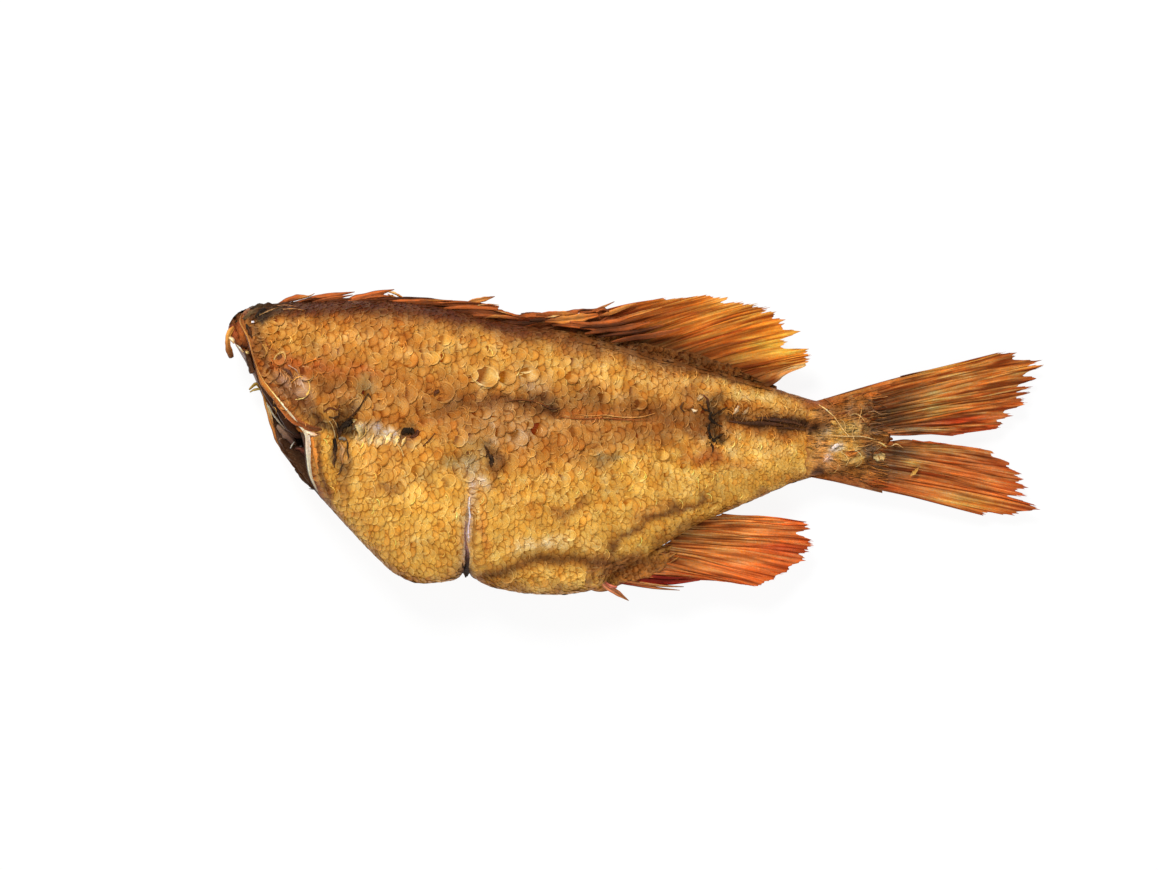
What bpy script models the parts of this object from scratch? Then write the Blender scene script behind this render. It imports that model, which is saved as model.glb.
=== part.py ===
"""A hot-smoked ocean perch, sold without its head, lying on its right flank.

The fish is one piece: flesh, skin and fins have dried together, so it is one solid. Its tail points
along +X, its back along +Y, and the left flank looks up, along +Z. The origin is under the middle of
the whole fish, on the surface that it lies on.

The trunk is a loft. Its rings run from the blind end of the gullet, out to the mouth of the cut,
across the cut, and then down the skin to the root of the tail. Each fin is a fan of rays with a web
between them, and it is joined to the trunk with a Boolean union.
"""

import math

import bpy
import numpy as np

# Driving dimensions, in metres.
LENGTH = 0.300  # from the flap at the nape to the tips of the tail
THICKNESS = 0.0396  # through the shoulder, from flank to flank, before it is pressed flat
FIN_THICKNESS = 0.0012
GULLET_DEPTH = 0.026  # how far the gullet reaches in behind the cut

# Every place below is in hundredths of the length: x to the tail, y to the back, z up.
UNIT = LENGTH / 100

# The trunk's outline, without the fins. In front of the cut the lines only guide the sections.
BACK_LINE = (
    (-49.9, 14.0), (-48.7, 15.9), (-47.3, 16.6), (-45.5, 17.1), (-40.9, 17.3), (-32.3, 17.6),
    (-25.0, 17.0), (-18.9, 15.6), (-14.0, 14.6), (-7.9, 13.7), (-1.8, 12.0), (8.2, 9.4),
    (16.1, 7.2), (21.7, 5.5), (25.0, 4.6), (28.7, 3.3), (31.1, 2.1),
)
BELLY_LINE = (
    (-49.9, 7.9), (-45.5, 2.4), (-42.1, -2.0), (-38.3, -6.3), (-31.7, -13.4), (-28.9, -15.8),
    (-26.0, -16.8), (-22.6, -16.5), (-21.5, -16.1), (-20.6, -15.3), (-19.7, -16.1), (-17.1, -17.3),
    (-13.4, -18.0), (-9.8, -18.2), (-6.1, -17.8), (-4.3, -17.2), (-2.6, -15.4), (1.3, -13.4),
    (8.4, -9.3), (13.5, -7.1), (21.5, -3.9), (25.0, -3.2), (28.7, -1.8), (31.1, -0.4),
)
# Half the thickness as a share of half the shoulder's, and the height of the middle plane. The
# wrist of the tail sinks towards the surface, as a dried fish sags when it is laid down.
HALF_THICKNESS = (
    (-49.9, 0.55), (-45.0, 0.80), (-40.0, 0.92), (-30.0, 1.00), (-20.0, 0.99), (-8.0, 0.86),
    (5.0, 0.65), (15.0, 0.46), (21.7, 0.32), (27.0, 0.20), (31.1, 0.07),
)
MIDDLE_HEIGHT = (
    (-49.9, 5.7), (-30.0, 5.9), (-10.0, 5.6), (5.0, 4.6), (15.0, 3.7), (22.0, 3.0), (31.0, 2.5), (50.0, 1.7),
)
FULLNESS = 2.3  # a section's roundness: 2 is an ellipse, more is boxier
WIDEST = 0.85  # below 1, the widest place lies nearer the back than the belly

# The cut that took the head off, from the nape to the throat: its edge on the upper flank runs
# down the collar bone, and its edge on the lower flank stands out in front of it.
UPPER_RIM = (
    (-47.3, 16.6), (-47.9, 15.2), (-46.7, 12.8), (-46.0, 10.2), (-45.0, 7.9), (-42.6, 4.9),
    (-40.9, 2.8), (-39.7, 1.2), (-39.6, -1.2), (-39.3, -3.8), (-38.3, -6.3),
)
LOWER_RIM = (
    (-47.3, 16.6), (-48.7, 15.9), (-49.6, 14.4), (-49.4, 13.0), (-48.5, 11.8), (-47.6, 10.5),
    (-46.7, 8.2), (-45.5, 5.5), (-44.8, 3.2), (-43.8, 0.6), (-42.8, -1.2), (-40.4, -4.1), (-38.3, -6.3),
)
GULLET_TOP = 0.34  # shares of the way down the cut: above it the nape is solid flesh
GULLET_BOTTOM = 0.96
WALL = 0.13  # the gullet's wall, as a share of the way across the cut
GULLET_RINGS = 4
GULLET_SLOPE = -0.22  # the gullet falls towards the belly by this much for each unit of depth

# Furrows in the flank: depth, half width, and the path.
FURROWS = (
    (0.42, 2.3, ((-37.2, 0.9), (-28.0, 1.3), (-23.8, 2.6), (-18.9, 4.8), (-14.0, 5.2), (-9.1, 4.0),
                 (3.0, 2.9), (16.5, 1.6), (23.8, 0.2))),  # along the lateral line
    (0.90, 1.5, ((-18.9, -16.2), (-16.0, -14.8), (-12.8, -13.5), (-8.9, -13.8), (-5.4, -14.4),
                 (-1.1, -14.1))),  # the fold over the vent lobe
    (0.35, 1.3, ((-3.0, -12.2), (-0.6, -10.6), (2.4, -8.8), (5.5, -7.7), (8.5, -6.7))),
    (0.30, 1.8, ((-18.6, -2.0), (-19.7, -5.0), (-20.2, -9.0))),  # the cleft behind the pelvic bone
    (0.75, 0.9, ((-20.3, -8.5), (-20.5, -13.0), (-20.6, -17.0))),
    (0.50, 1.8, ((-34.5, 5.5), (-35.2, 1.8), (-35.7, -2.1))),  # where the pectoral fin was cut off
)
# Swellings of muscle and fat: place, half length along the fish, half width across, height.
SWELLINGS = (
    (-18.0, 11.0, 20.0, 3.5, 0.40),
    (-26.0, -9.5, 7.0, 5.5, 0.45),
    (-10.5, -16.2, 7.5, 1.8, 0.45),
    (-6.0, -6.5, 12.0, 4.5, 0.35),
    (13.0, -3.2, 11.0, 1.8, 0.30),
    (13.0, 5.0, 11.0, 1.8, 0.25),
)
UNDERSIDE_RELIEF = 0.6  # the flank that it lies on is pressed smoother

RINGS = 58
COLUMNS = 48
TAIL_END = 31.1
SETTLE = 0.35  # the share of the trunk over which the columns spread from the cut to their own lines
CROWDING = ((0.0, 0.05, 1.2), (0.258, 0.025, 2.6), (1.0, 0.04, 0.8))  # where the rings crowd: share, width, extra

# Fins: where the rays start in the flesh, where they end, and the number of rays. The web ends
# short of the tips, by the share given.
SPINY_DORSAL = dict(
    root=((-43.9, 16.6), (-37.8, 16.9), (-31.3, 17.2), (-24.3, 16.3), (-17.7, 14.7), (-10.4, 13.4), (-5.0, 12.3)),
    tips=((-39.4, 18.3), (-34.6, 18.6), (-29.1, 19.2), (-26.6, 18.0), (-21.0, 17.9), (-17.0, 18.1),
          (-15.6, 16.6), (-11.4, 16.0), (-6.4, 16.4), (-2.6, 17.3), (1.8, 17.6)),
    rays=14, web_short=0.16,
)
SOFT_DORSAL = dict(
    root=((-6.0, 12.0), (0.5, 10.4), (5.5, 8.9), (9.8, 7.8), (13.4, 6.8), (15.6, 6.3)),
    tips=((0.6, 17.6), (6.7, 18.5), (11.7, 18.1), (15.9, 17.0), (18.9, 15.2), (20.6, 13.0),
          (20.9, 11.3), (20.9, 10.2), (18.9, 9.0)),
    rays=15, web_short=0.05,
)
ANAL = dict(
    root=((-4.4, -16.2), (0.9, -12.6), (5.6, -9.6), (9.4, -7.9)),
    tips=((8.0, -16.7), (12.0, -17.0), (15.1, -17.3), (17.6, -16.5), (19.8, -15.2), (21.2, -14.1),
          (21.8, -12.3), (21.7, -10.6), (21.0, -9.5)),
    rays=10, web_short=0.05,
)
UPPER_TAIL = dict(
    root=((21.4, 5.3), (25.6, 3.9), (28.4, 2.3), (30.4, 0.7)),
    tips=((41.5, 10.6), (44.9, 11.4), (49.9, 10.2), (49.4, 8.3), (48.9, 6.8), (48.0, 5.0), (46.4, 3.5), (44.0, 1.5)),
    rays=12, web_short=0.05,
)
LOWER_TAIL = dict(
    root=((30.4, 0.4), (28.4, -0.9), (25.6, -2.3), (21.4, -3.8)),
    tips=((43.7, -0.4), (46.2, -2.1), (47.8, -3.7), (48.1, -5.4), (48.9, -7.7), (45.7, -8.5), (41.6, -8.7)),
    rays=11, web_short=0.05,
)
RAY_STATIONS = 6
CORRUGATION = 0.09  # rays stand this much above the middle of the fin, and the web below it
FIN_WAVE = 0.35
FIN_WAVE_LENGTH = 17.0

# Tapered strips: two spines that stand free in front of the anal fin, a strip of skin that hangs
# from the nape, and a splinter of bone in the lower edge of the cut. Each has its thickness at the
# root, its tip's share of that, and its line in x, y and z.
STRIPS = {
    "anal_spine_1": (0.0036, 0.25, ((-6.4, -15.9, 5.3), (-4.3, -17.2, 5.1), (-2.6, -18.1, 4.9), (-0.5, -19.1, 4.6))),
    "anal_spine_2": (0.0044, 0.25, ((-6.4, -15.6, 5.3), (-2.6, -16.7, 5.0), (1.6, -17.3, 4.6), (6.1, -17.7, 4.2))),
    "nape_flap": (0.0020, 0.8, ((-47.9, 14.9, 5.7), (-49.3, 13.6, 6.1), (-49.7, 12.5, 6.2), (-49.5, 11.5, 6.0),
                                (-49.0, 10.7, 5.7))),
    "bone_splinter": (0.0026, 0.5, ((-44.2, 6.2, 1.7), (-46.0, 6.8, 2.0), (-47.6, 7.1, 2.3))),
}

SKIN_COLOUR = (0.60, 0.30, 0.06, 1.0)
SKIN_ROUGHNESS = 0.45


def profile(points):
    """A smooth curve through the points, as a function of x, with no overshoot between them."""
    xs, ys = np.array(points, float).T
    gaps = np.diff(xs)
    slopes = np.diff(ys) / gaps
    before, after = slopes[:-1], slopes[1:]
    turning = before * after <= 0
    total = np.where(turning, 1.0, before + after)
    middle = np.where(turning, 0.0, 2 * before * after / total)
    tangents = np.concatenate([slopes[:1], middle, slopes[-1:]])

    def at(x):
        x = np.clip(x, xs[0], xs[-1])
        i = np.clip(np.searchsorted(xs, x, side="right") - 1, 0, len(gaps) - 1)
        t = (x - xs[i]) / gaps[i]
        rise = t * t * (3 - 2 * t)
        return (
            ys[i] * (1 - rise)
            + ys[i + 1] * rise
            + gaps[i] * t * (1 - t) * (tangents[i] * (1 - t) - tangents[i + 1] * t)
        )

    return at


def path(points, share):
    """Places on a smooth curve through the points, at these shares of its length."""
    points = np.array(points, float)
    ends = np.vstack([2 * points[0] - points[1], points, 2 * points[-1] - points[-2]])
    steps = np.linspace(0, 1, 12, endpoint=False)[:, None]
    pieces = []
    for a, b, c, d in zip(ends[:-3], ends[1:-2], ends[2:-1], ends[3:]):
        pieces.append(
            b + steps * (c - a) / 2
            + steps**2 * (a - 2.5 * b + 2 * c - d / 2)
            + steps**3 * (1.5 * (b - c) + (d - a) / 2)
        )
    line = np.vstack([*pieces, points[-1:]])
    run = np.concatenate([[0], np.cumsum(np.linalg.norm(np.diff(line, axis=0), axis=1))])
    return np.stack([np.interp(share, run / run[-1], values) for values in line.T], axis=-1)


back_line = profile(BACK_LINE)
belly_line = profile(BELLY_LINE)
half_thickness = profile(HALF_THICKNESS)
middle_height = profile(MIDDLE_HEIGHT)


def smooth_step(t):
    t = np.clip(t, 0, 1)
    return t * t * (3 - 2 * t)


def distance_to(points, x, y):
    """How far each place is from the smooth curve through the points."""
    line = path(points, np.linspace(0, 1, 60))
    return np.sqrt((x[..., None] - line[:, 0]) ** 2 + (y[..., None] - line[:, 1]) ** 2).min(axis=-1)


def relief(x, y):
    """How much the flank stands proud of its plain section, in units."""
    rise = np.zeros_like(x)
    for place_x, place_y, along, across, height in SWELLINGS:
        rise += height * np.exp(-(((x - place_x) / along) ** 2) - ((y - place_y) / across) ** 2)
    for depth, half_width, points in FURROWS:
        rise -= depth * np.exp(-((distance_to(points, x, y) / half_width) ** 2))
    return rise


def flank_height(x, y, side):
    """The height of the skin over a place: side is 1 on the upper flank and -1 on the lower one."""
    top, bottom = back_line(x), belly_line(x)
    down = np.clip((top - y) / (top - bottom), 0, 1)
    across = np.abs(2 * down**WIDEST - 1)
    section = np.sqrt(np.clip(1 - across**FULLNESS, 0, 1))
    half = half_thickness(x) * THICKNESS / 2 / UNIT
    detail = relief(x, y) * section * np.minimum(1, half / 2)
    return middle_height(x) + side * (half * section + detail * np.where(side > 0, 1, UNDERSIDE_RELIEF))


def rim_points(down, side):
    """The edge of the cut, at shares of the way from the nape to the throat."""
    plan = np.where(side[:, None] > 0, path(UPPER_RIM, down), path(LOWER_RIM, down))
    return np.column_stack([plan, flank_height(plan[:, 0], plan[:, 1], side)])


def trunk_rings():
    """The loft's rings, from the blind end of the gullet to the root of the tail."""
    turn = 2 * math.pi * np.arange(COLUMNS) / COLUMNS
    side = np.where(np.sin(turn) >= -1e-9, 1.0, -1.0)
    down = (1 - np.cos(turn)) / 2
    rim = rim_points(down, side)

    # The mouth of the gullet lies on the cut, which runs straight from the lower rim to the upper.
    mouth_down = GULLET_TOP + (GULLET_BOTTOM - GULLET_TOP) * down
    across = (WALL + (1 - 2 * WALL) * (1 + np.sin(turn)) / 2)[:, None]
    upper = rim_points(mouth_down, np.ones(COLUMNS))
    lower = rim_points(mouth_down, -np.ones(COLUMNS))
    mouth = lower + (upper - lower) * across
    centre = mouth.mean(axis=0)
    heading = np.array([1.0, GULLET_SLOPE, 0.0]) * GULLET_DEPTH / UNIT
    rings = []
    for ring in range(GULLET_RINGS, 0, -1):
        inward = ring / (GULLET_RINGS + 0.3)
        narrow = math.sqrt(1 - inward**2)
        rings.append(centre + heading * inward + (mouth - centre) * narrow)
    rings += [mouth, (mouth * 2 + rim) / 3, (mouth * 0.5 + rim * 2.5) / 3]

    # Down the skin, the rings crowd at the cut, at the cleft and at the root of the tail.
    even = np.linspace(0, 1, 1001)
    density = 1 + sum(extra * np.exp(-(((even - at) / width) ** 2)) for at, width, extra in CROWDING)
    so_far = np.cumsum(density) - density[0]
    for t in np.interp(np.linspace(0, 1, RINGS), so_far / so_far[-1], even):
        x = rim[:, 0] + (TAIL_END - rim[:, 0]) * t
        top, bottom = back_line(rim[:, 0]), belly_line(rim[:, 0])
        rim_down = np.clip((top - rim[:, 1]) / (top - bottom), 0, 1)
        line = rim_down + (down - rim_down) * smooth_step(t / SETTLE)
        y = back_line(x) + (belly_line(x) - back_line(x)) * line
        rings.append(np.column_stack([x, y, flank_height(x, y, side)]))
    return np.array(rings)


def loft(name, rings):
    """A closed loft through rings of points in units, with a fan of faces at each end."""
    count, around = rings.shape[:2]
    points = np.maximum(rings, (-1e9, -1e9, 0.0)).reshape(-1, 3)
    points = np.vstack([points, rings[0].mean(axis=0), rings[-1].mean(axis=0)]) * UNIT
    faces = []
    for ring in range(count - 1):
        for column in range(around):
            following = (column + 1) % around
            faces.append(
                (ring * around + column, ring * around + following,
                 (ring + 1) * around + following, (ring + 1) * around + column)
            )
    last = (count - 1) * around
    for column in range(around):
        following = (column + 1) % around
        faces.append((following, column, count * around))
        faces.append((last + column, last + following, count * around + 1))
    return mesh_object(name, points, faces)


def mesh_object(name, points, faces):
    mesh = bpy.data.meshes.new(name)
    mesh.from_pydata(points.tolist(), [], faces)
    mesh.validate()
    return bpy.data.objects.new(name, mesh)


def fan(name, root, tips, rays, web_short):
    """A fin: rays from the root to the tips, and between each pair a web that ends short of them."""
    columns = 2 * rays - 1
    share = np.linspace(0, 1, columns)
    start, end = path(root, share), path(tips, share)
    is_web = np.arange(columns) % 2 == 1
    reach = np.where(is_web, 1 - web_short, 1.0)[:, None]
    along = np.linspace(0, 1, RAY_STATIONS)
    grid = start + (end - start) * reach * along[:, None, None]
    x, y = grid[..., 0], grid[..., 1]
    wave = FIN_WAVE * np.sin(2 * math.pi * (x + 1.7 * y) / FIN_WAVE_LENGTH) * along[:, None]
    ridge = np.where(is_web, -CORRUGATION, CORRUGATION) * np.sin(math.pi * (0.15 + 0.7 * along))[:, None]
    points = np.stack([x, y, middle_height(x) + wave + ridge], axis=-1).reshape(-1, 3) * UNIT
    faces = [
        (row * columns + k, row * columns + k + 1, (row + 1) * columns + k + 1, (row + 1) * columns + k)
        for row in range(RAY_STATIONS - 1)
        for k in range(columns - 1)
    ]
    fin = mesh_object(name, points, faces)
    shell = fin.modifiers.new("thickness", "SOLIDIFY")
    shell.thickness = FIN_THICKNESS
    shell.offset = 0.0
    return fin


def tapered_strip(name, thickness, tip, points):
    """A spine, a strip of skin or a splinter: a bevelled curve through the points, as a mesh."""
    data = bpy.data.curves.new(name, "CURVE")
    data.dimensions = "3D"
    data.bevel_depth = thickness / 2
    data.bevel_resolution = 2
    data.use_fill_caps = True
    spline = data.splines.new("POLY")
    line = path(points, np.linspace(0, 1, 7))
    spline.points.add(len(line) - 1)
    for k, place in enumerate(line):
        spline.points[k].co = (*(place * UNIT), 1.0)
        spline.points[k].radius = 1 + (tip - 1) * k / (len(line) - 1)
    guide = bpy.data.objects.new(name + "_line", data)
    bpy.context.scene.collection.objects.link(guide)
    evaluated = guide.evaluated_get(bpy.context.evaluated_depsgraph_get())
    mesh = bpy.data.meshes.new_from_object(evaluated)
    strip = bpy.data.objects.new(name, mesh)
    strip.matrix_world = guide.matrix_world
    bpy.data.objects.remove(guide)
    weld = strip.modifiers.new("weld_caps", "WELD")
    weld.merge_threshold = 0.00001
    return strip


def skin_material():
    material = bpy.data.materials.new("smoked_skin")
    material.use_nodes = True
    shader = material.node_tree.nodes["Principled BSDF"]
    shader.inputs["Base Color"].default_value = SKIN_COLOUR
    shader.inputs["Roughness"].default_value = SKIN_ROUGHNESS
    shader.inputs["Metallic"].default_value = 0.0
    return material


def centre_over_origin(fish):
    """Moves the finished shape so that the middle of its box's bottom is the origin."""
    bpy.context.view_layer.update()
    evaluated = fish.evaluated_get(bpy.context.evaluated_depsgraph_get())
    corners = np.array([tuple(corner) for corner in evaluated.bound_box])
    low, high = corners.min(axis=0), corners.max(axis=0)
    fish.location = (-(low[0] + high[0]) / 2, -(low[1] + high[1]) / 2, -low[2])


def main():
    for old in list(bpy.data.objects):
        bpy.data.objects.remove(old)
    parts = bpy.data.collections.new("smoked_fish")
    helpers = bpy.data.collections.new("fins_to_join")
    for collection in (parts, helpers):
        bpy.context.scene.collection.children.link(collection)

    fish = loft("smoked_fish", trunk_rings())
    fish.data.materials.append(skin_material())
    parts.objects.link(fish)

    joined = [
        fan("spiny_dorsal", **SPINY_DORSAL),
        fan("soft_dorsal", **SOFT_DORSAL),
        fan("anal", **ANAL),
        fan("upper_tail", **UPPER_TAIL),
        fan("lower_tail", **LOWER_TAIL),
    ]
    joined += [tapered_strip(name, *strip) for name, strip in STRIPS.items()]
    for piece in joined:
        helpers.objects.link(piece)
        piece.hide_render = True
        piece.display_type = "WIRE"
        union = fish.modifiers.new("join_" + piece.name, "BOOLEAN")
        union.operation = "UNION"
        union.object = piece
    centre_over_origin(fish)


main()
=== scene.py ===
import math

import bmesh
import bpy
import numpy as np
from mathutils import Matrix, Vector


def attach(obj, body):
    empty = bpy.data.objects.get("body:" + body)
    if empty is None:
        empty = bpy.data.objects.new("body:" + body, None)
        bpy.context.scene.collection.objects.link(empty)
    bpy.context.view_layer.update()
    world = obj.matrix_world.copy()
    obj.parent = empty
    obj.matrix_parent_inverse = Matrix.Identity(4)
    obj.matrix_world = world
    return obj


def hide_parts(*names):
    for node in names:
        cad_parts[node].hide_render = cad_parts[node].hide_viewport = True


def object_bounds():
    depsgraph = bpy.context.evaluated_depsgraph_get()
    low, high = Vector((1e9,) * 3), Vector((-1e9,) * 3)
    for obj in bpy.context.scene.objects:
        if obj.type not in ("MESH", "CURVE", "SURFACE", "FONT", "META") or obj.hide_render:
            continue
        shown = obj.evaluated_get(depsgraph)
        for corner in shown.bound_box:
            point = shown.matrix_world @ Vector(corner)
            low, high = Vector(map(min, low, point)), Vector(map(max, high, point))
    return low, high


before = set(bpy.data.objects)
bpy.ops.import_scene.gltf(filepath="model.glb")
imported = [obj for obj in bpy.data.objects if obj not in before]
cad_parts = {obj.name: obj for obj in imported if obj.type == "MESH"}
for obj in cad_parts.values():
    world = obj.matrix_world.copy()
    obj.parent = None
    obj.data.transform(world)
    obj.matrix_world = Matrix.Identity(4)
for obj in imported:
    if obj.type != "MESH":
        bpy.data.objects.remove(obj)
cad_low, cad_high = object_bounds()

# ---------------------------------------------------------------------------------------------
# The trunk: one skin of dried, smoked fish hide, from the cut behind the head to the root of the tail, and the cut
# itself with the gullet that runs in behind it. It is a loft in hundredths of the fish's length, and it carries the
# smoke's colours as a painted attribute, with painted shade in its folds and along the belly's edge and painted light
# on the belly's lower lobe.
# ---------------------------------------------------------------------------------------------
UNIT = (cad_high.x - cad_low.x) / 100
THICKNESS = 13.2
BACK_LINE = (
    (-49.9, 14.0), (-48.7, 15.9), (-47.3, 16.6), (-45.5, 17.1), (-40.9, 17.3), (-32.3, 17.6),
    (-25.0, 17.0), (-18.9, 15.6), (-14.0, 14.6), (-7.9, 13.7), (-1.8, 12.0), (8.2, 9.4),
    (16.1, 7.2), (21.7, 5.5), (25.0, 4.6), (28.7, 3.3), (31.1, 2.1),
)
BELLY_LINE = (
    (-49.9, 7.9), (-45.5, 2.4), (-42.1, -2.0), (-38.3, -6.3), (-31.7, -13.4), (-28.9, -15.8),
    (-26.0, -16.8), (-22.6, -16.5), (-21.5, -16.1), (-20.6, -15.3), (-19.7, -16.1), (-17.1, -17.3),
    (-13.4, -18.0), (-9.8, -18.2), (-6.1, -17.8), (-4.3, -17.2), (-2.6, -15.4), (1.3, -13.4),
    (8.4, -9.3), (13.5, -7.1), (21.5, -3.9), (25.0, -3.2), (28.7, -1.8), (31.1, -0.4),
)
HALF_THICKNESS = (
    (-49.9, 0.55), (-45.0, 0.80), (-40.0, 0.92), (-30.0, 1.00), (-20.0, 0.99), (-8.0, 0.86),
    (5.0, 0.65), (15.0, 0.46), (21.7, 0.32), (27.0, 0.20), (31.1, 0.07),
)
MIDDLE_HEIGHT = (
    (-49.9, 5.7), (-30.0, 5.9), (-10.0, 5.6), (5.0, 4.6), (15.0, 3.7), (22.0, 3.0), (31.0, 2.5), (50.0, 1.7),
)
UPPER_RIM = (
    (-47.3, 16.6), (-47.9, 15.2), (-46.7, 12.8), (-46.0, 10.2), (-45.0, 7.9), (-42.6, 4.9),
    (-40.9, 2.8), (-39.7, 1.2), (-39.6, -1.2), (-39.3, -3.8), (-38.3, -6.3),
)
LOWER_RIM = (
    (-47.3, 16.6), (-48.7, 15.9), (-49.6, 14.4), (-49.4, 13.0), (-48.5, 11.8), (-47.6, 10.5),
    (-46.7, 8.2), (-45.5, 5.5), (-44.8, 3.2), (-43.8, 0.6), (-42.8, -1.2), (-40.4, -4.1), (-38.3, -6.3),
)
LATERAL_LINE = ((-37.2, 0.9), (-28.0, 1.3), (-23.8, 2.6), (-18.9, 4.8), (-14.0, 5.2), (-9.1, 4.0),
                (3.0, 2.9), (16.5, 1.6), (23.8, 0.2))
BELLY_FOLD = ((-19.0, -16.1), (-16.4, -15.5), (-14.6, -14.9), (-13.2, -14.1), (-11.0, -13.8), (-7.3, -13.9),
              (-4.4, -14.3), (-1.2, -14.0))
ANAL_FOLD = ((-3.0, -12.2), (-0.6, -10.6), (2.4, -8.8), (5.5, -7.7), (8.5, -6.7))
ANAL_SHEATH = ((-4.4, -14.6), (-1.0, -14.9), (2.4, -15.2), (6.0, -15.4))
CLEFT = ((-19.6, -4.5), (-19.9, -7.0), (-20.2, -10.4), (-20.6, -13.8), (-20.6, -17.0))
FURROWS = (  # depth, half width, path
    (0.42, 2.1, LATERAL_LINE),
    (0.95, 1.3, BELLY_FOLD),
    (0.40, 1.0, ANAL_FOLD),
    (0.28, 1.6, ((-18.6, -2.0), (-19.7, -5.0), (-20.2, -9.0))),
    (1.00, 0.7, ((-20.3, -8.5), (-20.5, -13.0), (-20.6, -17.0))),
    (0.45, 1.3, ((-34.5, 5.5), (-35.2, 1.8), (-35.7, -2.1))),
    (0.35, 0.8, ((9.4, 5.0), (9.8, 3.0), (9.9, 0.6))),
    (0.30, 0.7, ((-28.0, 1.2), (-26.6, 1.3))),
    (0.25, 1.2, ((10.5, 3.4), (16.0, 2.9), (22.0, 2.0))),
    (0.20, 0.5, ((-8.6, -9.3), (-7.0, -7.6), (-5.0, -7.0))),
)
SWELLINGS = (  # place, half length, half width, height
    (-18.0, 11.0, 20.0, 3.5, 0.40),
    (-26.0, -9.5, 7.0, 5.5, 0.45),
    (-10.5, -16.2, 7.5, 1.8, 0.45),
    (-6.0, -6.5, 12.0, 4.5, 0.35),
    (13.0, -3.2, 11.0, 1.8, 0.30),
    (13.0, 5.0, 11.0, 1.8, 0.25),
)
TAIL_END = 31.1
SETTLE = 0.35
GULLET_TOP, GULLET_BOTTOM, WALL = 0.34, 0.96, 0.13
GULLET_DEPTH, GULLET_SLOPE = 8.7, -0.22


def profile(points):
    """A smooth curve through the points, as a function of x, with no overshoot between them."""
    xs, ys = np.array(points, float).T
    gaps = np.diff(xs)
    slopes = np.diff(ys) / gaps
    before, after = slopes[:-1], slopes[1:]
    turning = before * after <= 0
    middle = np.where(turning, 0.0, 2 * before * after / np.where(turning, 1.0, before + after))
    tangents = np.concatenate([slopes[:1], middle, slopes[-1:]])

    def at(x):
        x = np.clip(x, xs[0], xs[-1])
        i = np.clip(np.searchsorted(xs, x, side="right") - 1, 0, len(gaps) - 1)
        t = (x - xs[i]) / gaps[i]
        rise = t * t * (3 - 2 * t)
        bend = gaps[i] * t * (1 - t) * (tangents[i] * (1 - t) - tangents[i + 1] * t)
        return ys[i] * (1 - rise) + ys[i + 1] * rise + bend

    return at


def path(points, share):
    """Places on a smooth curve through the points, at these shares of its length."""
    points = np.array(points, float)
    ends = np.vstack([2 * points[0] - points[1], points, 2 * points[-1] - points[-2]])
    steps = np.linspace(0, 1, 12, endpoint=False)[:, None]
    pieces = [
        b + steps * (c - a) / 2 + steps**2 * (a - 2.5 * b + 2 * c - d / 2) + steps**3 * (1.5 * (b - c) + (d - a) / 2)
        for a, b, c, d in zip(ends[:-3], ends[1:-2], ends[2:-1], ends[3:])
    ]
    line = np.vstack([*pieces, points[-1:]])
    run = np.concatenate([[0], np.cumsum(np.linalg.norm(np.diff(line, axis=0), axis=1))])
    return np.stack([np.interp(share, run / run[-1], values) for values in line.T], axis=-1)


def smooth_step(t):
    t = np.clip(t, 0, 1)
    return t * t * (3 - 2 * t)


def waves(x, y, size, seed):
    """A smooth, even unevenness over the surface, about -1 to 1, in lumps of this size."""
    draw = np.random.default_rng(seed)
    total = np.zeros(np.shape(x))
    for _ in range(9):
        heading, length, phase = draw.uniform(0, 2 * math.pi), size * draw.uniform(0.6, 1.9), draw.uniform(0, 6.28)
        total += np.sin((x * math.cos(heading) + y * math.sin(heading)) * 2 * math.pi / length + phase)
    return total / 3.2


def distance_to(points, x, y):
    """How far each place is from the smooth curve through the points."""
    line = path(points, np.linspace(0, 1, 50))
    nearest = np.full(np.shape(x), 1e9)
    for a, b in line:
        nearest = np.minimum(nearest, (x - a) ** 2 + (y - b) ** 2)
    return np.sqrt(nearest)


back_line, belly_line = profile(BACK_LINE), profile(BELLY_LINE)
half_thickness, middle_height = profile(HALF_THICKNESS), profile(MIDDLE_HEIGHT)


def flank_height(x, y, side):
    """The height of the skin over a place: side is 1 on the flank that looks up and -1 below."""
    top, bottom = back_line(x), belly_line(x)
    down = np.clip((top - y) / (top - bottom), 0, 1)
    section = np.sqrt(np.clip(1 - np.abs(2 * down**0.85 - 1) ** 2.3, 0, 1))
    half = half_thickness(x) * THICKNESS / 2
    rise = 0.10 * waves(x, y, 6.0, 4) + 0.05 * waves(x, y, 2.6, 5)
    for a, b, along, across, height in SWELLINGS:
        rise += height * np.exp(-(((x - a) / along) ** 2) - ((y - b) / across) ** 2)
    for depth, half_width, points in FURROWS:
        rise -= depth * np.exp(-((distance_to(points, x, y) / half_width) ** 2))
    rise *= section * np.minimum(1, half / 2)
    return middle_height(x) + side * (half * section + rise * np.where(side > 0, 1, 0.6))


def rim_points(down, side):
    """The edge of the cut, at shares of the way from the nape to the throat."""
    plan = np.where(side[..., None] > 0, path(UPPER_RIM, down), path(LOWER_RIM, down))
    height = flank_height(plan[..., 0], plan[..., 1], side)
    return np.concatenate([plan, np.maximum(height, 0)[..., None]], axis=-1)


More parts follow.
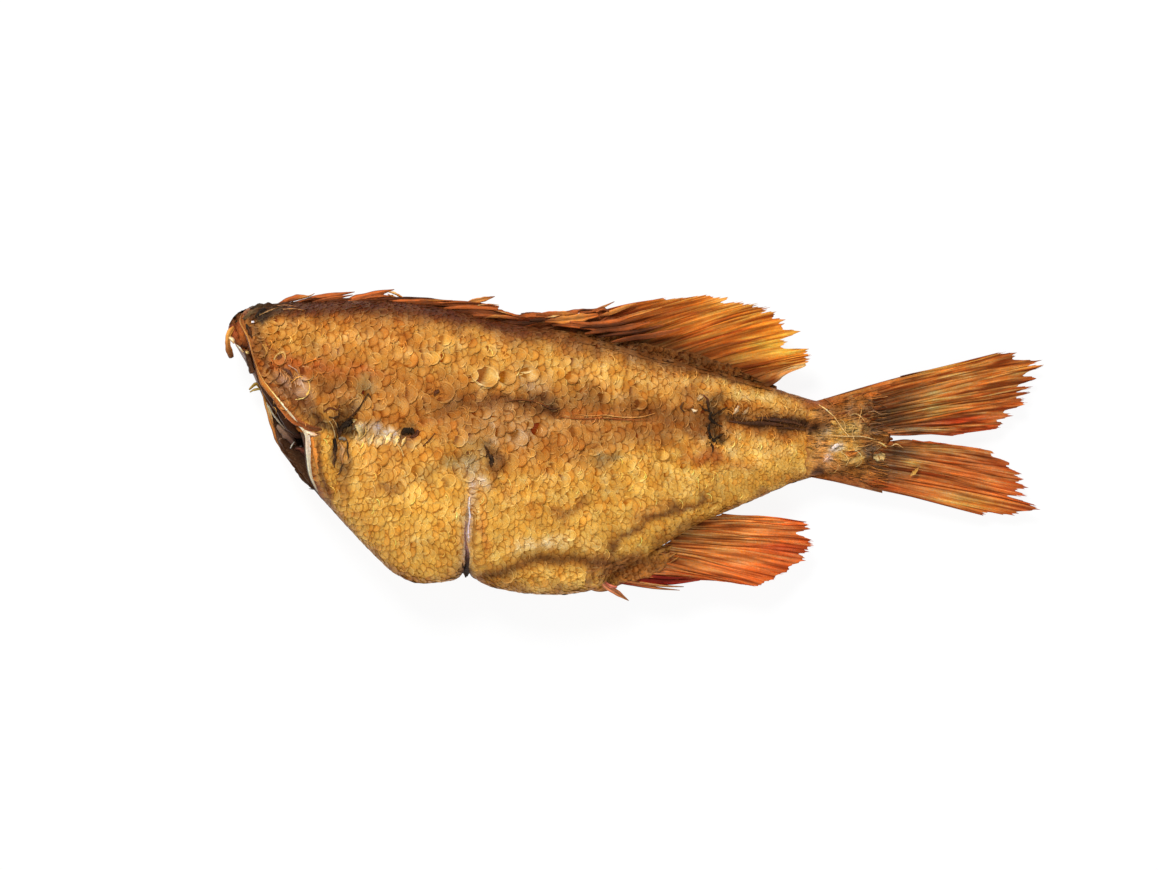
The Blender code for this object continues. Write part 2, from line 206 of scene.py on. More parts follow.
def trunk_places(along, turn):
    """Places on the skin: along runs from the cut to the tail, and turn runs round the section,
    from the back over the upper flank to the belly, and back under the flank that it lies on."""
    side = np.where(np.sin(turn) >= -1e-9, 1.0, -1.0)
    down = (1 - np.cos(turn)) / 2
    rim = rim_points(down, side)
    x = rim[..., 0] + (TAIL_END - rim[..., 0]) * along
    top, bottom = back_line(rim[..., 0]), belly_line(rim[..., 0])
    rim_down = np.clip((top - rim[..., 1]) / (top - bottom), 0, 1)
    line = rim_down + (down - rim_down) * smooth_step(along / SETTLE)
    y = back_line(x) + (belly_line(x) - back_line(x)) * line
    return np.stack([x, y, np.maximum(flank_height(x, y, side), 0)], axis=-1)


# The smoke's colours, as the eye sees them, from bright belly fat to charred edges.
GOLD, HONEY, AMBER, COPPER = (230, 174, 74), (218, 158, 66), (204, 138, 56), (186, 118, 46)
TOAST, UMBER, CHAR, SOOT = (150, 92, 38), (108, 62, 28), (66, 38, 20), (30, 22, 18)
RUST, CREAM, BEIGE, OLIVE, MAUVE = (186, 92, 38), (232, 212, 170), (206, 168, 116), (142, 112, 64), (150, 108, 88)
FLANK_SHADES = (  # from the back, 0, to the belly, 1
    (0.00, CHAR), (0.03, UMBER), (0.06, TOAST), (0.09, COPPER), (0.13, AMBER), (0.22, AMBER),
    (0.32, COPPER), (0.42, COPPER), (0.50, AMBER), (0.58, HONEY), (0.68, GOLD), (1.00, GOLD),
)
# How much of the dark edge of the back is left out, from the nape to the tail.
BACK_EDGE = ((-50.0, 0.0), (-28.0, 0.0), (-18.0, 0.03), (12.0, 0.03), (20.0, 0.07))
# Stains on the flank, with a patch of painted light and a painted glint among them where marked: place, half length,
# half width, turn in degrees, colour, strength.
STAINS = (
    # broad zones, from the nape to the tail
    (-38.0, 12.5, 8.0, 2.4, 0, COPPER, 0.40),
    (-10.0, 10.6, 15.0, 1.9, -13, GOLD, 0.55),
    (-18.0, 10.0, 5.0, 2.2, -5, HONEY, 0.45),
    (-11.0, 4.5, 13.0, 1.6, -3, TOAST, 0.50),
    (3.0, -3.0, 8.0, 4.2, -6, GOLD, 0.75),
    (-9.0, -5.5, 5.5, 3.0, 20, GOLD, 0.45),
    (-24.5, -1.0, 3.6, 2.6, 0, HONEY, 0.5),
    (-25.0, -9.0, 6.0, 5.0, 0, GOLD, 0.4),
    (-16.2, 2.4, 4.0, 2.4, 20, BEIGE, 0.55),
    (1.5, 1.2, 5.5, 1.4, -4, TOAST, 0.5),
    (-9.0, 2.0, 11.0, 2.6, 0, (192, 140, 72), 0.3),
    (14.6, 6.0, 6.5, 1.1, -14, (240, 188, 94), 0.9),
    (15.0, -0.5, 5.5, 1.4, -8, (242, 192, 98), 0.85),
    (1.8, 8.4, 7.5, 1.2, -13, (236, 180, 92), 0.4),
    (-29.0, 11.5, 4.0, 1.6, -5, (226, 160, 74), 0.5),
    (-35.5, 13.0, 3.5, 1.0, 5, (226, 160, 74), 0.5),
    (6.0, -4.5, 3.4, 2.2, 0, (242, 190, 90), 0.6),
    (-29.0, 4.6, 2.0, 1.2, 0, (226, 164, 78), 0.6),
    (13.0, -4.6, 10.0, 1.0, 22, GOLD, 0.6),
    # behind the cut
    (-45.6, 16.2, 4.0, 1.25, 8, (50, 34, 24), 1.0),
    (-41.0, 12.8, 4.2, 1.3, 0, HONEY, 0.5),
    (-41.5, 9.6, 4.2, 0.9, -8, RUST, 0.6),
    (-35.5, 9.1, 5.5, 0.7, -7, RUST, 0.6),
    (-37.0, 7.6, 2.6, 1.2, 35, TOAST, 0.55),
    (-41.6, 6.6, 2.8, 1.2, -50, MAUVE, 0.75),
    (-40.2, 6.9, 1.1, 1.1, 0, (206, 172, 148), 0.8),
    (-43.5, 6.5, 0.8, 3.0, 40, RUST, 0.4),
    (-39.5, 4.6, 2.2, 1.0, -48, UMBER, 0.85),
    (-37.8, 2.6, 1.3, 0.9, -40, CHAR, 0.85),
    (-36.3, 6.8, 2.0, 0.8, 30, UMBER, 0.5),
    (-34.9, 4.0, 1.8, 1.0, 25, CHAR, 0.65),
    (-35.6, 5.8, 1.4, 0.8, 20, (196, 124, 60), 0.6),
    (-35.2, 2.0, 1.6, 1.4, 10, SOOT, 0.75),
    (-36.1, -0.5, 0.5, 2.2, -6, CHAR, 0.75),
    (-35.4, -1.2, 0.7, 1.6, -6, (186, 128, 70), 0.5),
    (-34.7, -0.7, 0.35, 1.4, 0, CHAR, 0.6),
    (-33.3, 2.0, 1.1, 1.2, 30, (176, 146, 96), 0.75),
    (-32.6, 6.9, 1.1, 1.7, -35, OLIVE, 0.8),
    (-33.6, 5.4, 1.0, 1.0, 0, (176, 140, 84), 0.6),
    (-35.2, -2.9, 1.0, 1.3, 0, CHAR, 0.7),
    (-35.0, -5.4, 0.6, 2.0, -10, TOAST, 0.5),
    (-31.2, -3.2, 4.2, 3.6, 0, (194, 134, 62), 0.4),
    (-30.6, 5.4, 4.6, 1.3, 0, (214, 156, 78), 0.4),
    (-15.5, 12.5, 1.6, 1.3, 0, (166, 106, 52), 0.45),
    (-8.2, 11.6, 1.6, 1.5, -10, (174, 112, 52), 0.5),
    (-5.2, 8.0, 2.2, 1.5, 0, (246, 190, 100), 0.5),
    (6.6, 6.1, 1.9, 1.1, -8, (146, 90, 42), 0.5),
    # painted light on the belly's lower lobe, where it turns down away from the lamps
    (-10.0, -17.1, 6.5, 0.8, -3, (246, 196, 100), 0.6),
    (27.2, -1.8, 1.3, 1.5, 0, (222, 168, 82), 0.6),
    (25.8, -4.4, 3.6, 0.5, -7, (118, 56, 34), 0.65),
    (-30.2, 1.1, 3.0, 0.8, 3, CREAM, 0.95),
    (-31.5, 2.0, 1.2, 1.0, 0, (188, 172, 150), 0.7),
    (-27.4, 1.4, 0.9, 0.9, 10, CHAR, 0.8),
    (-25.6, 2.2, 2.2, 0.5, 35, (188, 98, 40), 0.6),
    # the middle of the flank
    (-22.0, 4.6, 3.6, 0.8, 20, UMBER, 0.55),
    (-16.8, 5.3, 3.4, 0.8, 5, UMBER, 0.75),
    (-12.6, 5.6, 2.4, 0.9, -5, CHAR, 0.55),
    (-10.2, 4.4, 1.6, 1.0, 15, CHAR, 0.75),
    (-11.8, 6.6, 2.2, 0.8, 0, (176, 134, 84), 0.6),
    (-6.0, 6.2, 2.6, 1.0, -10, (160, 118, 70), 0.6),
    (-4.0, 4.4, 6.0, 0.7, -4, TOAST, 0.5),
    (-3.0, 3.3, 7.0, 0.35, -3, (196, 104, 44), 0.6),
    (-17.2, -1.6, 0.8, 1.8, 25, CHAR, 0.65),
    (-16.3, -2.6, 1.0, 1.2, 10, UMBER, 0.6),
    (-18.0, 0.1, 0.5, 1.1, -20, CHAR, 0.6),
    (-20.6, -1.4, 2.8, 1.3, 25, OLIVE, 0.8),
    (-19.5, -3.0, 1.5, 1.2, 0, (176, 150, 104), 0.8),
    (-18.6, -4.6, 1.1, 1.3, 10, (206, 176, 140), 0.8),
    (-25.0, -3.2, 2.6, 0.9, 25, OLIVE, 0.45),
    (-30.2, -5.3, 2.2, 0.7, 18, UMBER, 0.55),
    (-33.0, -8.9, 1.3, 0.8, 0, COPPER, 0.6),
    (-27.5, -11.5, 1.0, 1.0, 0, COPPER, 0.35),
    (-3.2, -1.6, 2.4, 1.0, 5, OLIVE, 0.75),
    (-5.5, -0.2, 1.6, 0.8, 30, TOAST, 0.4),
    (-1.5, 4.6, 4.0, 1.0, 0, TOAST, 0.45),
    (-8.4, -8.3, 1.7, 1.1, 20, TOAST, 0.75),
    (-6.8, -7.1, 1.5, 0.5, 25, UMBER, 0.5),
    (-12.5, -7.4, 1.2, 0.8, 0, COPPER, 0.5),
    (-15.2, -5.8, 0.9, 1.4, 10, COPPER, 0.5),
    (-18.4, -10.5, 0.7, 2.8, 5, (206, 128, 60), 0.6),
    (-11.4, -11.9, 3.4, 0.9, 6, (248, 216, 150), 0.85),
    (-6.0, -11.9, 3.0, 0.7, -8, (236, 190, 100), 0.6),
    (-9.5, -16.5, 6.5, 1.0, 0, (246, 192, 88), 0.95),
    (-17.7, 8.2, 1.6, 1.1, -10, (242, 204, 124), 0.8),
    (-12.8, 8.5, 1.6, 0.9, 0, (244, 208, 130), 0.7),
    (-15.4, 8.2, 0.9, 0.9, 0, (214, 170, 104), 0.7),
    (-14.1, 1.0, 1.3, 0.9, -30, (206, 168, 120), 0.7),
    (-11.6, 1.9, 1.3, 1.1, 0, (206, 166, 112), 0.6),
    (-23.0, 11.4, 1.2, 1.4, 0, (236, 188, 92), 0.6),
    # towards the tail
    (4.6, 3.7, 5.0, 1.7, -8, (120, 72, 34), 0.45),
    (8.0, 1.8, 2.4, 1.0, 10, UMBER, 0.55),
    (9.3, 4.9, 1.2, 1.2, -20, CHAR, 0.55),
    (9.7, 2.6, 0.8, 2.3, 0, SOOT, 0.6),
    (10.0, 0.7, 1.4, 0.6, 25, SOOT, 0.6),
    (11.2, 3.7, 1.4, 0.5, -30, SOOT, 0.5),
    (16.0, 2.8, 6.8, 0.80, -3, CHAR, 0.75),
    (20.5, 2.4, 2.6, 0.7, -12, CHAR, 0.80),
    (15.0, 3.6, 6.0, 1.5, -6, TOAST, 0.3),
    (8.9, -1.5, 2.6, 1.0, 5, (168, 88, 36), 0.75),
    (12.8, -2.6, 2.4, 0.8, 10, (206, 136, 62), 0.6),
    (2.0, -8.0, 2.6, 0.9, 25, (222, 148, 66), 0.6),
    (-1.0, -12.6, 4.0, 0.7, 20, GOLD, 0.7),
    (-0.5, -15.6, 3.0, 1.2, 15, TOAST, 0.7),
    (5.0, -10.6, 4.0, 0.9, 28, TOAST, 0.5),
    (-16.0, -16.9, 3.0, 0.7, -5, TOAST, 0.4),
    # the wrist of the tail
    (23.6, 5.9, 3.4, 1.1, 14, (154, 82, 40), 0.95),
    (26.6, 6.3, 2.4, 0.6, 12, (206, 132, 60), 0.7),
    (29.4, 6.4, 1.2, 0.6, 10, (214, 114, 44), 0.9),
    (24.2, 4.0, 2.4, 0.8, -20, (168, 104, 52), 0.7),
    (30.0, 4.6, 1.5, 1.0, 10, (74, 50, 34), 0.75),
    (29.8, 2.4, 1.3, 0.7, 0, (132, 104, 78), 0.9),
    (29.9, -1.4, 0.9, 0.9, 0, (216, 186, 122), 0.85),
    (26.2, 1.9, 1.9, 1.2, 0, (206, 172, 98), 0.85),
    (24.3, 1.2, 1.6, 1.0, 0, (206, 162, 86), 0.75),
    (22.6, 1.4, 1.4, 0.7, 0, (206, 158, 88), 0.8),
    (23.0, -1.9, 1.7, 1.0, 0, (208, 152, 92), 0.7),
    (23.6, -1.7, 0.6, 0.6, 0, (226, 186, 160), 0.8),
    (22.4, -0.3, 1.2, 0.9, 0, (198, 138, 70), 0.6),
    (26.0, -0.9, 1.9, 1.5, 0, (216, 174, 90), 0.9),
    # a painted glint on the wrist, near white
    (24.6, -0.3, 1.1, 0.5, 10, (226, 216, 204), 0.8),
    (26.4, -1.0, 0.8, 0.4, 0, (206, 120, 48), 0.8),
    (28.8, -0.8, 0.8, 1.1, 10, (116, 94, 74), 0.9),
    (31.3, 0.8, 0.5, 0.5, 0, (84, 46, 26), 0.9),
    (27.2, -3.3, 1.8, 0.8, -8, (196, 132, 60), 0.7),
    (25.0, -4.3, 4.6, 0.7, -9, (140, 70, 36), 0.9),
    (29.6, -4.6, 1.6, 0.9, -8, (164, 84, 42), 0.8),
    (22.3, -3.2, 0.9, 0.5, 0, (74, 44, 28), 0.85),
    (30.6, -2.4, 1.9, 0.8, -12, (98, 70, 46), 0.85),
    (21.2, 2.2, 1.8, 0.9, -8, CHAR, 0.8),
)


def paint(x, y, side):
    """The smoke's colour at each place, as the eye sees it, 0 to 1, with painted shade in the belly's fold, the anal
    fold and along the belly's edge, and painted light and a painted glint among the stains.
    """
    wrist = smooth_step((x - 20.9) / 1.6)
    bend = 1 - 0.75 * wrist
    bent_x = x + bend * (0.45 * waves(x, y, 3.0, 21) + 0.2 * waves(x, y, 1.2, 22))
    bent_y = y + bend * (0.45 * waves(x, y, 3.0, 23) + 0.2 * waves(x, y, 1.2, 24))
    top, bottom = back_line(x), belly_line(x)
    down = np.clip((top - bent_y) / (top - bottom), 0, 1)
    shares, shades = zip(*FLANK_SHADES)
    down = down + np.interp(x, *zip(*BACK_EDGE)) * np.clip(1 - 6 * down, 0, 1)
    colour = np.stack([np.interp(down, shares, channel) for channel in np.array(shades, float).T], axis=-1)

    def tone(mask, shade):
        nonlocal colour
        colour = colour + (np.array(shade, float) - colour) * np.clip(mask, 0, 1)[..., None]

    tone(wrist, (172, 114, 58))
    from_back = y - top + 0.25 * waves(x, y, 1.6, 35)
    tone(0.92 * smooth_step((from_back + 2.3) / 1.5) * np.interp(x, (-47, -45, -12, -8), (0, 1, 1, 0)), (84, 30, 0))
    tone(0.9 * smooth_step((from_back + 1.2) / 0.8) * np.interp(x, (-12, -8, 15, 19), (0, 1, 1, 0)), (126, 74, 30))
    tone(0.75 * np.exp(-((from_back + 0.5) ** 2)) * np.interp(x, (-7, -3, 3, 8), (0, 1, 1, 0)), (136, 88, 46))
    sheath = np.exp(-((distance_to(ANAL_SHEATH, x, y) / 1.5) ** 4))
    tone(0.85 * sheath, (146, 94, 52))
    tone(0.5 * sheath * waves(x, y, 1.5, 36), (176, 120, 90))
    for a, b, along, across, turn, shade, strength in STAINS:
        if side < 0 and shade in (SOOT, CREAM):
            continue
        c, s = math.cos(math.radians(turn)), math.sin(math.radians(turn))
        u = ((bent_x - a) * c + (bent_y - b) * s) / along
        v = ((bent_y - b) * c - (bent_x - a) * s) / across
        tone(strength * np.exp(-((u * u + v * v) ** 1.5)), shade)
    # Painted shade in the belly's fold, darkest along its middle and fading out towards the tail.
    fold = distance_to(BELLY_FOLD, 0.7 * x + 0.3 * bent_x, 0.7 * y + 0.3 * bent_y) / np.interp(x,
        (-19.0, -14.0, -8.0, -1.0), (0.5, 1.0, 1.0, 0.8))
    fading = np.interp(x, (-6.0, -1.0), (1.0, 0.35))
    tone(0.72 * fading * np.exp(-((fold / 0.95) ** 2)), (128, 76, 30))
    tone(0.45 * fading * np.exp(-((fold / 0.48) ** 2)), CHAR)
    # Painted shade in the crease of the anal fold.
    tone(0.80 * np.exp(-((distance_to(ANAL_FOLD, bent_x, bent_y) / 0.6) ** 2)), UMBER)
    cleft = distance_to(CLEFT, x, y)
    tone(0.45 * np.exp(-((cleft / 1.2) ** 2)), BEIGE)
    tone(0.75 * np.exp(-((cleft / 0.45) ** 2)), (206, 178, 158))
    tone(1.2 * np.clip((-14.2 - y) / 1.2, 0, 1) * np.exp(-((cleft / 0.8) ** 2)), CHAR)
    # Painted shade along the belly's edge, where the flank turns away from the light.
    tone(0.55 * np.clip((down - 0.965) / 0.03, 0, 1), TOAST)
    if side > 0:
        behind = distance_to(UPPER_RIM, x, y)
        tone(1.3 - behind / 0.9, (150, 86, 36))
        tone(0.8 * np.exp(-(((behind - 1.35) / 0.35) ** 2)), UMBER)
    for size, seed, change in (
        (4.6, 31, (-0.05, -0.07, -0.10)), (3.4, 32, (0.01, 0.03, 0.10)), (1.7, 33, (-0.01, -0.05, -0.14)),
        (2.3, 37, (0.03, 0.05, 0.08)), (1.5, 38, (-0.03, -0.04, -0.06)), (1.2, 34, (0.02, 0.04, 0.10)),
    ):
        colour = colour * (1 + (waves(x, y, size, seed) * np.interp(down, (0.5, 0.75), (1.0, 0.6)))[..., None]
                           * np.array(change))
    light = (np.interp(down, (0.40, 0.62), (0.905, 0.985))
             * (1 - 0.04 * smooth_step((x + 24) / 8) * smooth_step((down - 0.45) / 0.15)))[..., None]
    return np.clip(light * colour * (1.0, 0.975, 0.97) / 255, 0, 1)


def linear(colour):
    colour = np.asarray(colour, float)
    return np.where(colour <= 0.04045, colour / 12.92, ((colour + 0.055) / 1.055) ** 2.4)


def mesh_piece(name, points, faces, attributes=None):
    """A smooth mesh object from points in units, with its attributes on the points."""
    mesh = bpy.data.meshes.new(name)
    mesh.from_pydata((np.asarray(points) * UNIT).tolist(), [], [tuple(int(i) for i in face) for face in faces])
    mesh.polygons.foreach_set("use_smooth", np.ones(len(mesh.polygons), bool))
    for key, values in (attributes or {}).items():
        values = np.asarray(values, float)
        if values.ndim == 1:
            mesh.attributes.new(key, "FLOAT", "POINT").data.foreach_set("value", values.astype(np.float32))
        else:
            mesh.attributes.new(key, "FLOAT_VECTOR", "POINT").data.foreach_set("vector",
                values.astype(np.float32).ravel())
    mesh.update()
    piece = bpy.data.objects.new(name, mesh)
    bpy.context.scene.collection.objects.link(piece)
    return piece


def ring_faces(rings, around, first=0):
    """Faces between closed rings of points, each with the same number of points."""
    index = first + np.arange(rings * around).reshape(rings, around)
    following = np.roll(index, -1, axis=1)
    return np.stack([index[:-1], following[:-1], following[1:], index[1:]], axis=-1).reshape(-1, 4)


def new_material(name, roughness, specular=0.4):
    material = bpy.data.materials.new(name)
    material.use_nodes = True
    shader = material.node_tree.nodes["Principled BSDF"]
    shader.inputs["Roughness"].default_value = roughness
    shader.inputs["Specular IOR Level"].default_value = specular
    shader.inputs["Specular Tint"].default_value = (1.0, 0.68, 0.38, 1.0)
    return material, material.node_tree, shader


def add_node(tree, kind, inputs=None, **settings):
    """A node with its settings, and its inputs set to values or joined to other nodes' outputs."""
    node = tree.nodes.new(kind)
    for key, value in settings.items():
        setattr(node, key, value)
    for key, value in (inputs or {}).items():
        socket = node.inputs[key]
        if isinstance(value, bpy.types.NodeSocket):
            tree.links.new(value, socket)
        else:
            socket.default_value = value
    return node


def maths(tree, operation, *values):
    return add_node(tree, "ShaderNodeMath", dict(enumerate(values)), operation=operation).outputs[0]


def vectors(tree, operation, *values):
    return add_node(tree, "ShaderNodeVectorMath", dict(enumerate(values)), operation=operation).outputs[0]


def scaled(tree, vector, amount):
    return add_node(tree, "ShaderNodeVectorMath", {0: vector, "Scale": amount}, operation="SCALE").outputs[0]


def ranged(tree, value, low, high, to_low=0.0, to_high=1.0):
    """The value's range low to high as to_low to to_high, held at both ends."""
    limits = {"Value": value, "From Min": low, "From Max": high, "To Min": to_low, "To Max": to_high}
    return add_node(tree, "ShaderNodeMapRange", limits).outputs[0]


def attribute(tree, name, kind="Vector"):
    return add_node(tree, "ShaderNodeAttribute", attribute_name=name).outputs[kind]


def mottle_group():
    """Smoke and fat in the skin: it varies a colour in lumps and specks, and gives their height."""
    tree = bpy.data.node_groups.new("smoke_mottle", "ShaderNodeTree")
    for name, kind, value in (
        ("Colour", "NodeSocketColor", (0.8, 0.8, 0.8, 1)), ("Place", "NodeSocketVector", (0, 0, 0)),
        ("Lump Size", "NodeSocketFloat", 0.004), ("Strength", "NodeSocketFloat", 0.5),
        ("Hue", "NodeSocketFloat", 1.0),
    ):
        tree.interface.new_socket(name, in_out="INPUT", socket_type=kind).default_value = value
    tree.interface.new_socket("Colour", in_out="OUTPUT", socket_type="NodeSocketColor")
    tree.interface.new_socket("Height", in_out="OUTPUT", socket_type="NodeSocketFloat")
    given = tree.nodes.new("NodeGroupInput").outputs
    scale = maths(tree, "DIVIDE", 1.0, given["Lump Size"])
    finer = maths(tree, "MULTIPLY", scale, 5.2)
    lumps = add_node(tree, "ShaderNodeTexNoise", {"Vector": given["Place"], "Scale": scale, "Detail": 5.0,
                                                  "Roughness": 0.65}).outputs
    specks = add_node(tree, "ShaderNodeTexNoise", {"Vector": given["Place"], "Scale": finer, "Detail": 3.0,
                                                   "Roughness": 0.6}).outputs
    light = maths(tree, "MULTIPLY", ranged(tree, lumps["Fac"], 0.3, 0.7, 0.62, 1.38),
                  ranged(tree, specks["Fac"], 0.3, 0.7, 0.7, 1.3))
    strength = maths(tree, "MULTIPLY_ADD", maths(tree, "SUBTRACT", light, 1.0), given["Strength"], 1.0)
    lump_hue = add_node(tree, "ShaderNodeSeparateColor", {0: lumps["Color"]}).outputs[1]
    speck_hue = add_node(tree, "ShaderNodeSeparateColor", {0: specks["Color"]}).outputs[1]
    hue = maths(tree, "ADD", ranged(tree, lump_hue, 0.3, 0.7, -0.5, 0.5),
                ranged(tree, speck_hue, 0.3, 0.7, -1.4, 1.4))
    hue = maths(tree, "MULTIPLY", hue, given["Hue"])
    shift = vectors(tree, "MULTIPLY_ADD", hue, (0.05, -0.06, -0.34), (1.0, 1.0, 1.0))
    varied = vectors(tree, "MULTIPLY", scaled(tree, given["Colour"], strength), shift)
    out = tree.nodes.new("NodeGroupOutput").inputs
    tree.links.new(varied, out["Colour"])
    tree.links.new(light, out["Height"])
    return tree


mottle = mottle_group()


def mottled(tree, colour, lump_size, strength, hue=1.0):
    """The mottle group in a material, on Object coordinates: it gives its colour and height."""
    place = tree.nodes.new("ShaderNodeTexCoord").outputs["Object"]
    group = tree.nodes.new("ShaderNodeGroup")
    group.node_tree = mottle
    tree.links.new(colour, group.inputs["Colour"])
    tree.links.new(place, group.inputs["Place"])
    for name, value in (("Lump Size", lump_size), ("Strength", strength), ("Hue", hue)):
        group.inputs[name].default_value = value
    return group.outputs["Colour"], group.outputs["Height"], place


def bump(tree, shader, height, distance, strength=1.0):
    node = add_node(tree, "ShaderNodeBump", {"Height": height, "Distance": distance, "Strength": strength})
    tree.links.new(node.outputs["Normal"], shader.inputs["Normal"])


skin_material, tree, shader = new_material("smoked_skin", 0.46, 0.16)
stain = attribute(tree, "stain")
colour, height, place = mottled(tree, stain, 0.0042, 0.9)
tree.links.new(colour, shader.inputs["Base Color"])
bump(tree, shader, height, 0.0004)

flesh_material, tree, shader = new_material("cut_flesh", 0.3, 0.35)
stain = attribute(tree, "stain")
colour, height, place = mottled(tree, stain, 0.003, 0.8)
tree.links.new(colour, shader.inputs["Base Color"])
bump(tree, shader, height, 0.0005)

TRUNK_RINGS, TRUNK_COLUMNS, GULLET_RINGS, CUT_RINGS = 270, 224, 22, 10
turn = 2 * math.pi * np.arange(TRUNK_COLUMNS) / TRUNK_COLUMNS
side = np.where(np.sin(turn) >= -1e-9, 1.0, -1.0)
down = (1 - np.cos(turn)) / 2
rim = rim_points(down, side)
mouth_down = GULLET_TOP + (GULLET_BOTTOM - GULLET_TOP) * down
upper, lower = (rim_points(mouth_down, np.full(TRUNK_COLUMNS, flank)) for flank in (1.0, -1.0))
mouth = lower + (upper - lower) * (WALL + (1 - 2 * WALL) * (1 + np.sin(turn)) / 2)[:, None]
centre = mouth.mean(axis=0)
rings = []
for ring in range(GULLET_RINGS, 0, -1):
    inward = ring / (GULLET_RINGS + 0.4)
    folds = 1 + 0.05 * np.sin(9 * turn + 5 * inward) + 0.04 * np.sin(17 * turn - 9 * inward)
    narrow = math.sqrt(1 - inward**2) * (1 + (folds - 1) * min(1, 4 * inward))
    rings.append(centre + np.array([1.0, GULLET_SLOPE, 0.0]) * GULLET_DEPTH * inward + (mouth - centre)
                 * narrow[:, None])
for ring in range(CUT_RINGS):
    share = ring / CUT_RINGS
    rings.append(mouth + (rim - mouth) * share)
along = np.linspace(0, 1, TRUNK_RINGS) ** 1.04
skin_rings = trunk_places(along[:, None] * np.ones(TRUNK_COLUMNS), turn * np.ones((TRUNK_RINGS, 1)))
rings = np.concatenate([np.array(rings), skin_rings])
flesh_rings = GULLET_RINGS + CUT_RINGS
stains = np.empty_like(rings)
for flank in (1, -1):
    columns = side == flank
    stains[flesh_rings:, columns] = paint(skin_rings[:, columns, 0], skin_rings[:, columns, 1], flank)
deep = np.clip((flesh_rings - 6 - np.arange(flesh_rings)) / 12, 0, 1)[:, None, None]
nape = smooth_step((0.42 - down) / 0.15)[None, :, None]
wall_colour = np.array((78, 42, 18)) * (1 - nape) + np.array((130, 66, 26)) * nape
stains[:flesh_rings] = (wall_colour * (1 - deep) + np.array((50, 28, 18)) * deep) / 255
points = np.maximum(rings.reshape(-1, 3), (-1e9, -1e9, 0.0))
points = np.vstack([points, rings[0].mean(axis=0), rings[-1].mean(axis=0)])
stains = linear(np.vstack([stains.reshape(-1, 3), stains[0].mean(axis=0), stains[-1].mean(axis=0)]))
faces = ring_faces(len(rings), TRUNK_COLUMNS).tolist()
last, total = (len(rings) - 1) * TRUNK_COLUMNS, len(rings) * TRUNK_COLUMNS
for column in range(TRUNK_COLUMNS):
    following = (column + 1) % TRUNK_COLUMNS
    faces.append((following, column, total))
    faces.append((last + column, last + following, total + 1))
trunk = mesh_piece("trunk", points, faces, {"stain": stains})
trunk.data.materials.append(skin_material)
trunk.data.materials.append(flesh_material)
for polygon in trunk.data.polygons:
    if max(polygon.vertices) < flesh_rings * TRUNK_COLUMNS + TRUNK_COLUMNS or total in polygon.vertices:
        polygon.material_index = 1
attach(trunk, "root")
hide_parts("smoked_fish")

# ---------------------------------------------------------------------------------------------
# The scales: thin domed plates of horny skin, each rooted in a pocket and free at its rear edge, laid like roof tiles
# from the cut to the tail. They are instances of three plates, round, pointed and curled, set out on a lattice that
# follows the flank, and smoke has tinted each one on its own.
# ---------------------------------------------------------------------------------------------
PLATE_ROWS, PLATE_COLUMNS = 3, 8


def plate_mesh(name, point=0.0, cup=0.0, dome=0.105):
    """One closed scale, one unit long and wide: x runs to its free edge and z out of the skin.
    point draws the free edge out, and cup turns its rim up."""
    u = np.linspace(-1, 1, PLATE_COLUMNS)
    v = np.linspace(0, 1, PLATE_ROWS) ** 0.75
    grid_v, grid_u = np.meshgrid(v, u, indexing="ij")
    arc = math.radians(105) * grid_u  # the free edge is an arc, drawn out a little if pointed
    front_x, front_y = -0.5 + 0.12 * grid_u**2, 0.34 * grid_u
    rear_x, rear_y = 0.5 * np.cos(arc) - point * np.abs(grid_u) * (1 - np.abs(grid_u)) * 1.6, 0.5 * np.sin(arc)
    x = front_x + (rear_x - front_x) * grid_v
    y = front_y + (rear_y - front_y) * grid_v
    rise = dome * (1 - grid_u**2) * np.sin(math.pi * (0.12 + 0.78 * grid_v))
    rise += cup * np.clip(np.hypot(grid_u, 1.5 * (grid_v - 0.35)) - 0.55, 0, 1) ** 2 * np.clip(grid_v * 2 - 0.4, 0, 1)
    top = np.stack([x, y, 0.035 + rise], axis=-1).reshape(-1, 3)
    columns = PLATE_COLUMNS
    faces = [
        (r * columns + c, (r + 1) * columns + c, (r + 1) * columns + c + 1, r * columns + c + 1)
        for r in range(PLATE_ROWS - 1)
        for c in range(columns - 1)
    ]
    border = (
        [c for c in range(columns)]
        + [r * columns + columns - 1 for r in range(1, PLATE_ROWS)]
        + [(PLATE_ROWS - 1) * columns + c for c in range(columns - 2, -1, -1)]
        + [r * columns for r in range(PLATE_ROWS - 2, 0, -1)]
    )
    under = len(top)
    points = np.vstack([top, [[-0.05, 0.0, -0.03]]])
    for a, b in zip(border, border[1:] + border[:1]):
        faces.append((b, a, under))
    mesh = bpy.data.meshes.new(name)
    mesh.from_pydata(points.tolist(), [], [face[::-1] for face in faces])
    mesh.polygons.foreach_set("use_smooth", np.ones(len(mesh.polygons), bool))
    local = np.vstack([np.stack([grid_u, grid_v, np.zeros_like(grid_u)], axis=-1).reshape(-1, 3), [[0, 0.5, 0]]])
    mesh.attributes.new("plate", "FLOAT_VECTOR", "POINT").data.foreach_set("vector", local.astype(np.float32).ravel())
    return bpy.data.objects.new(name, mesh)


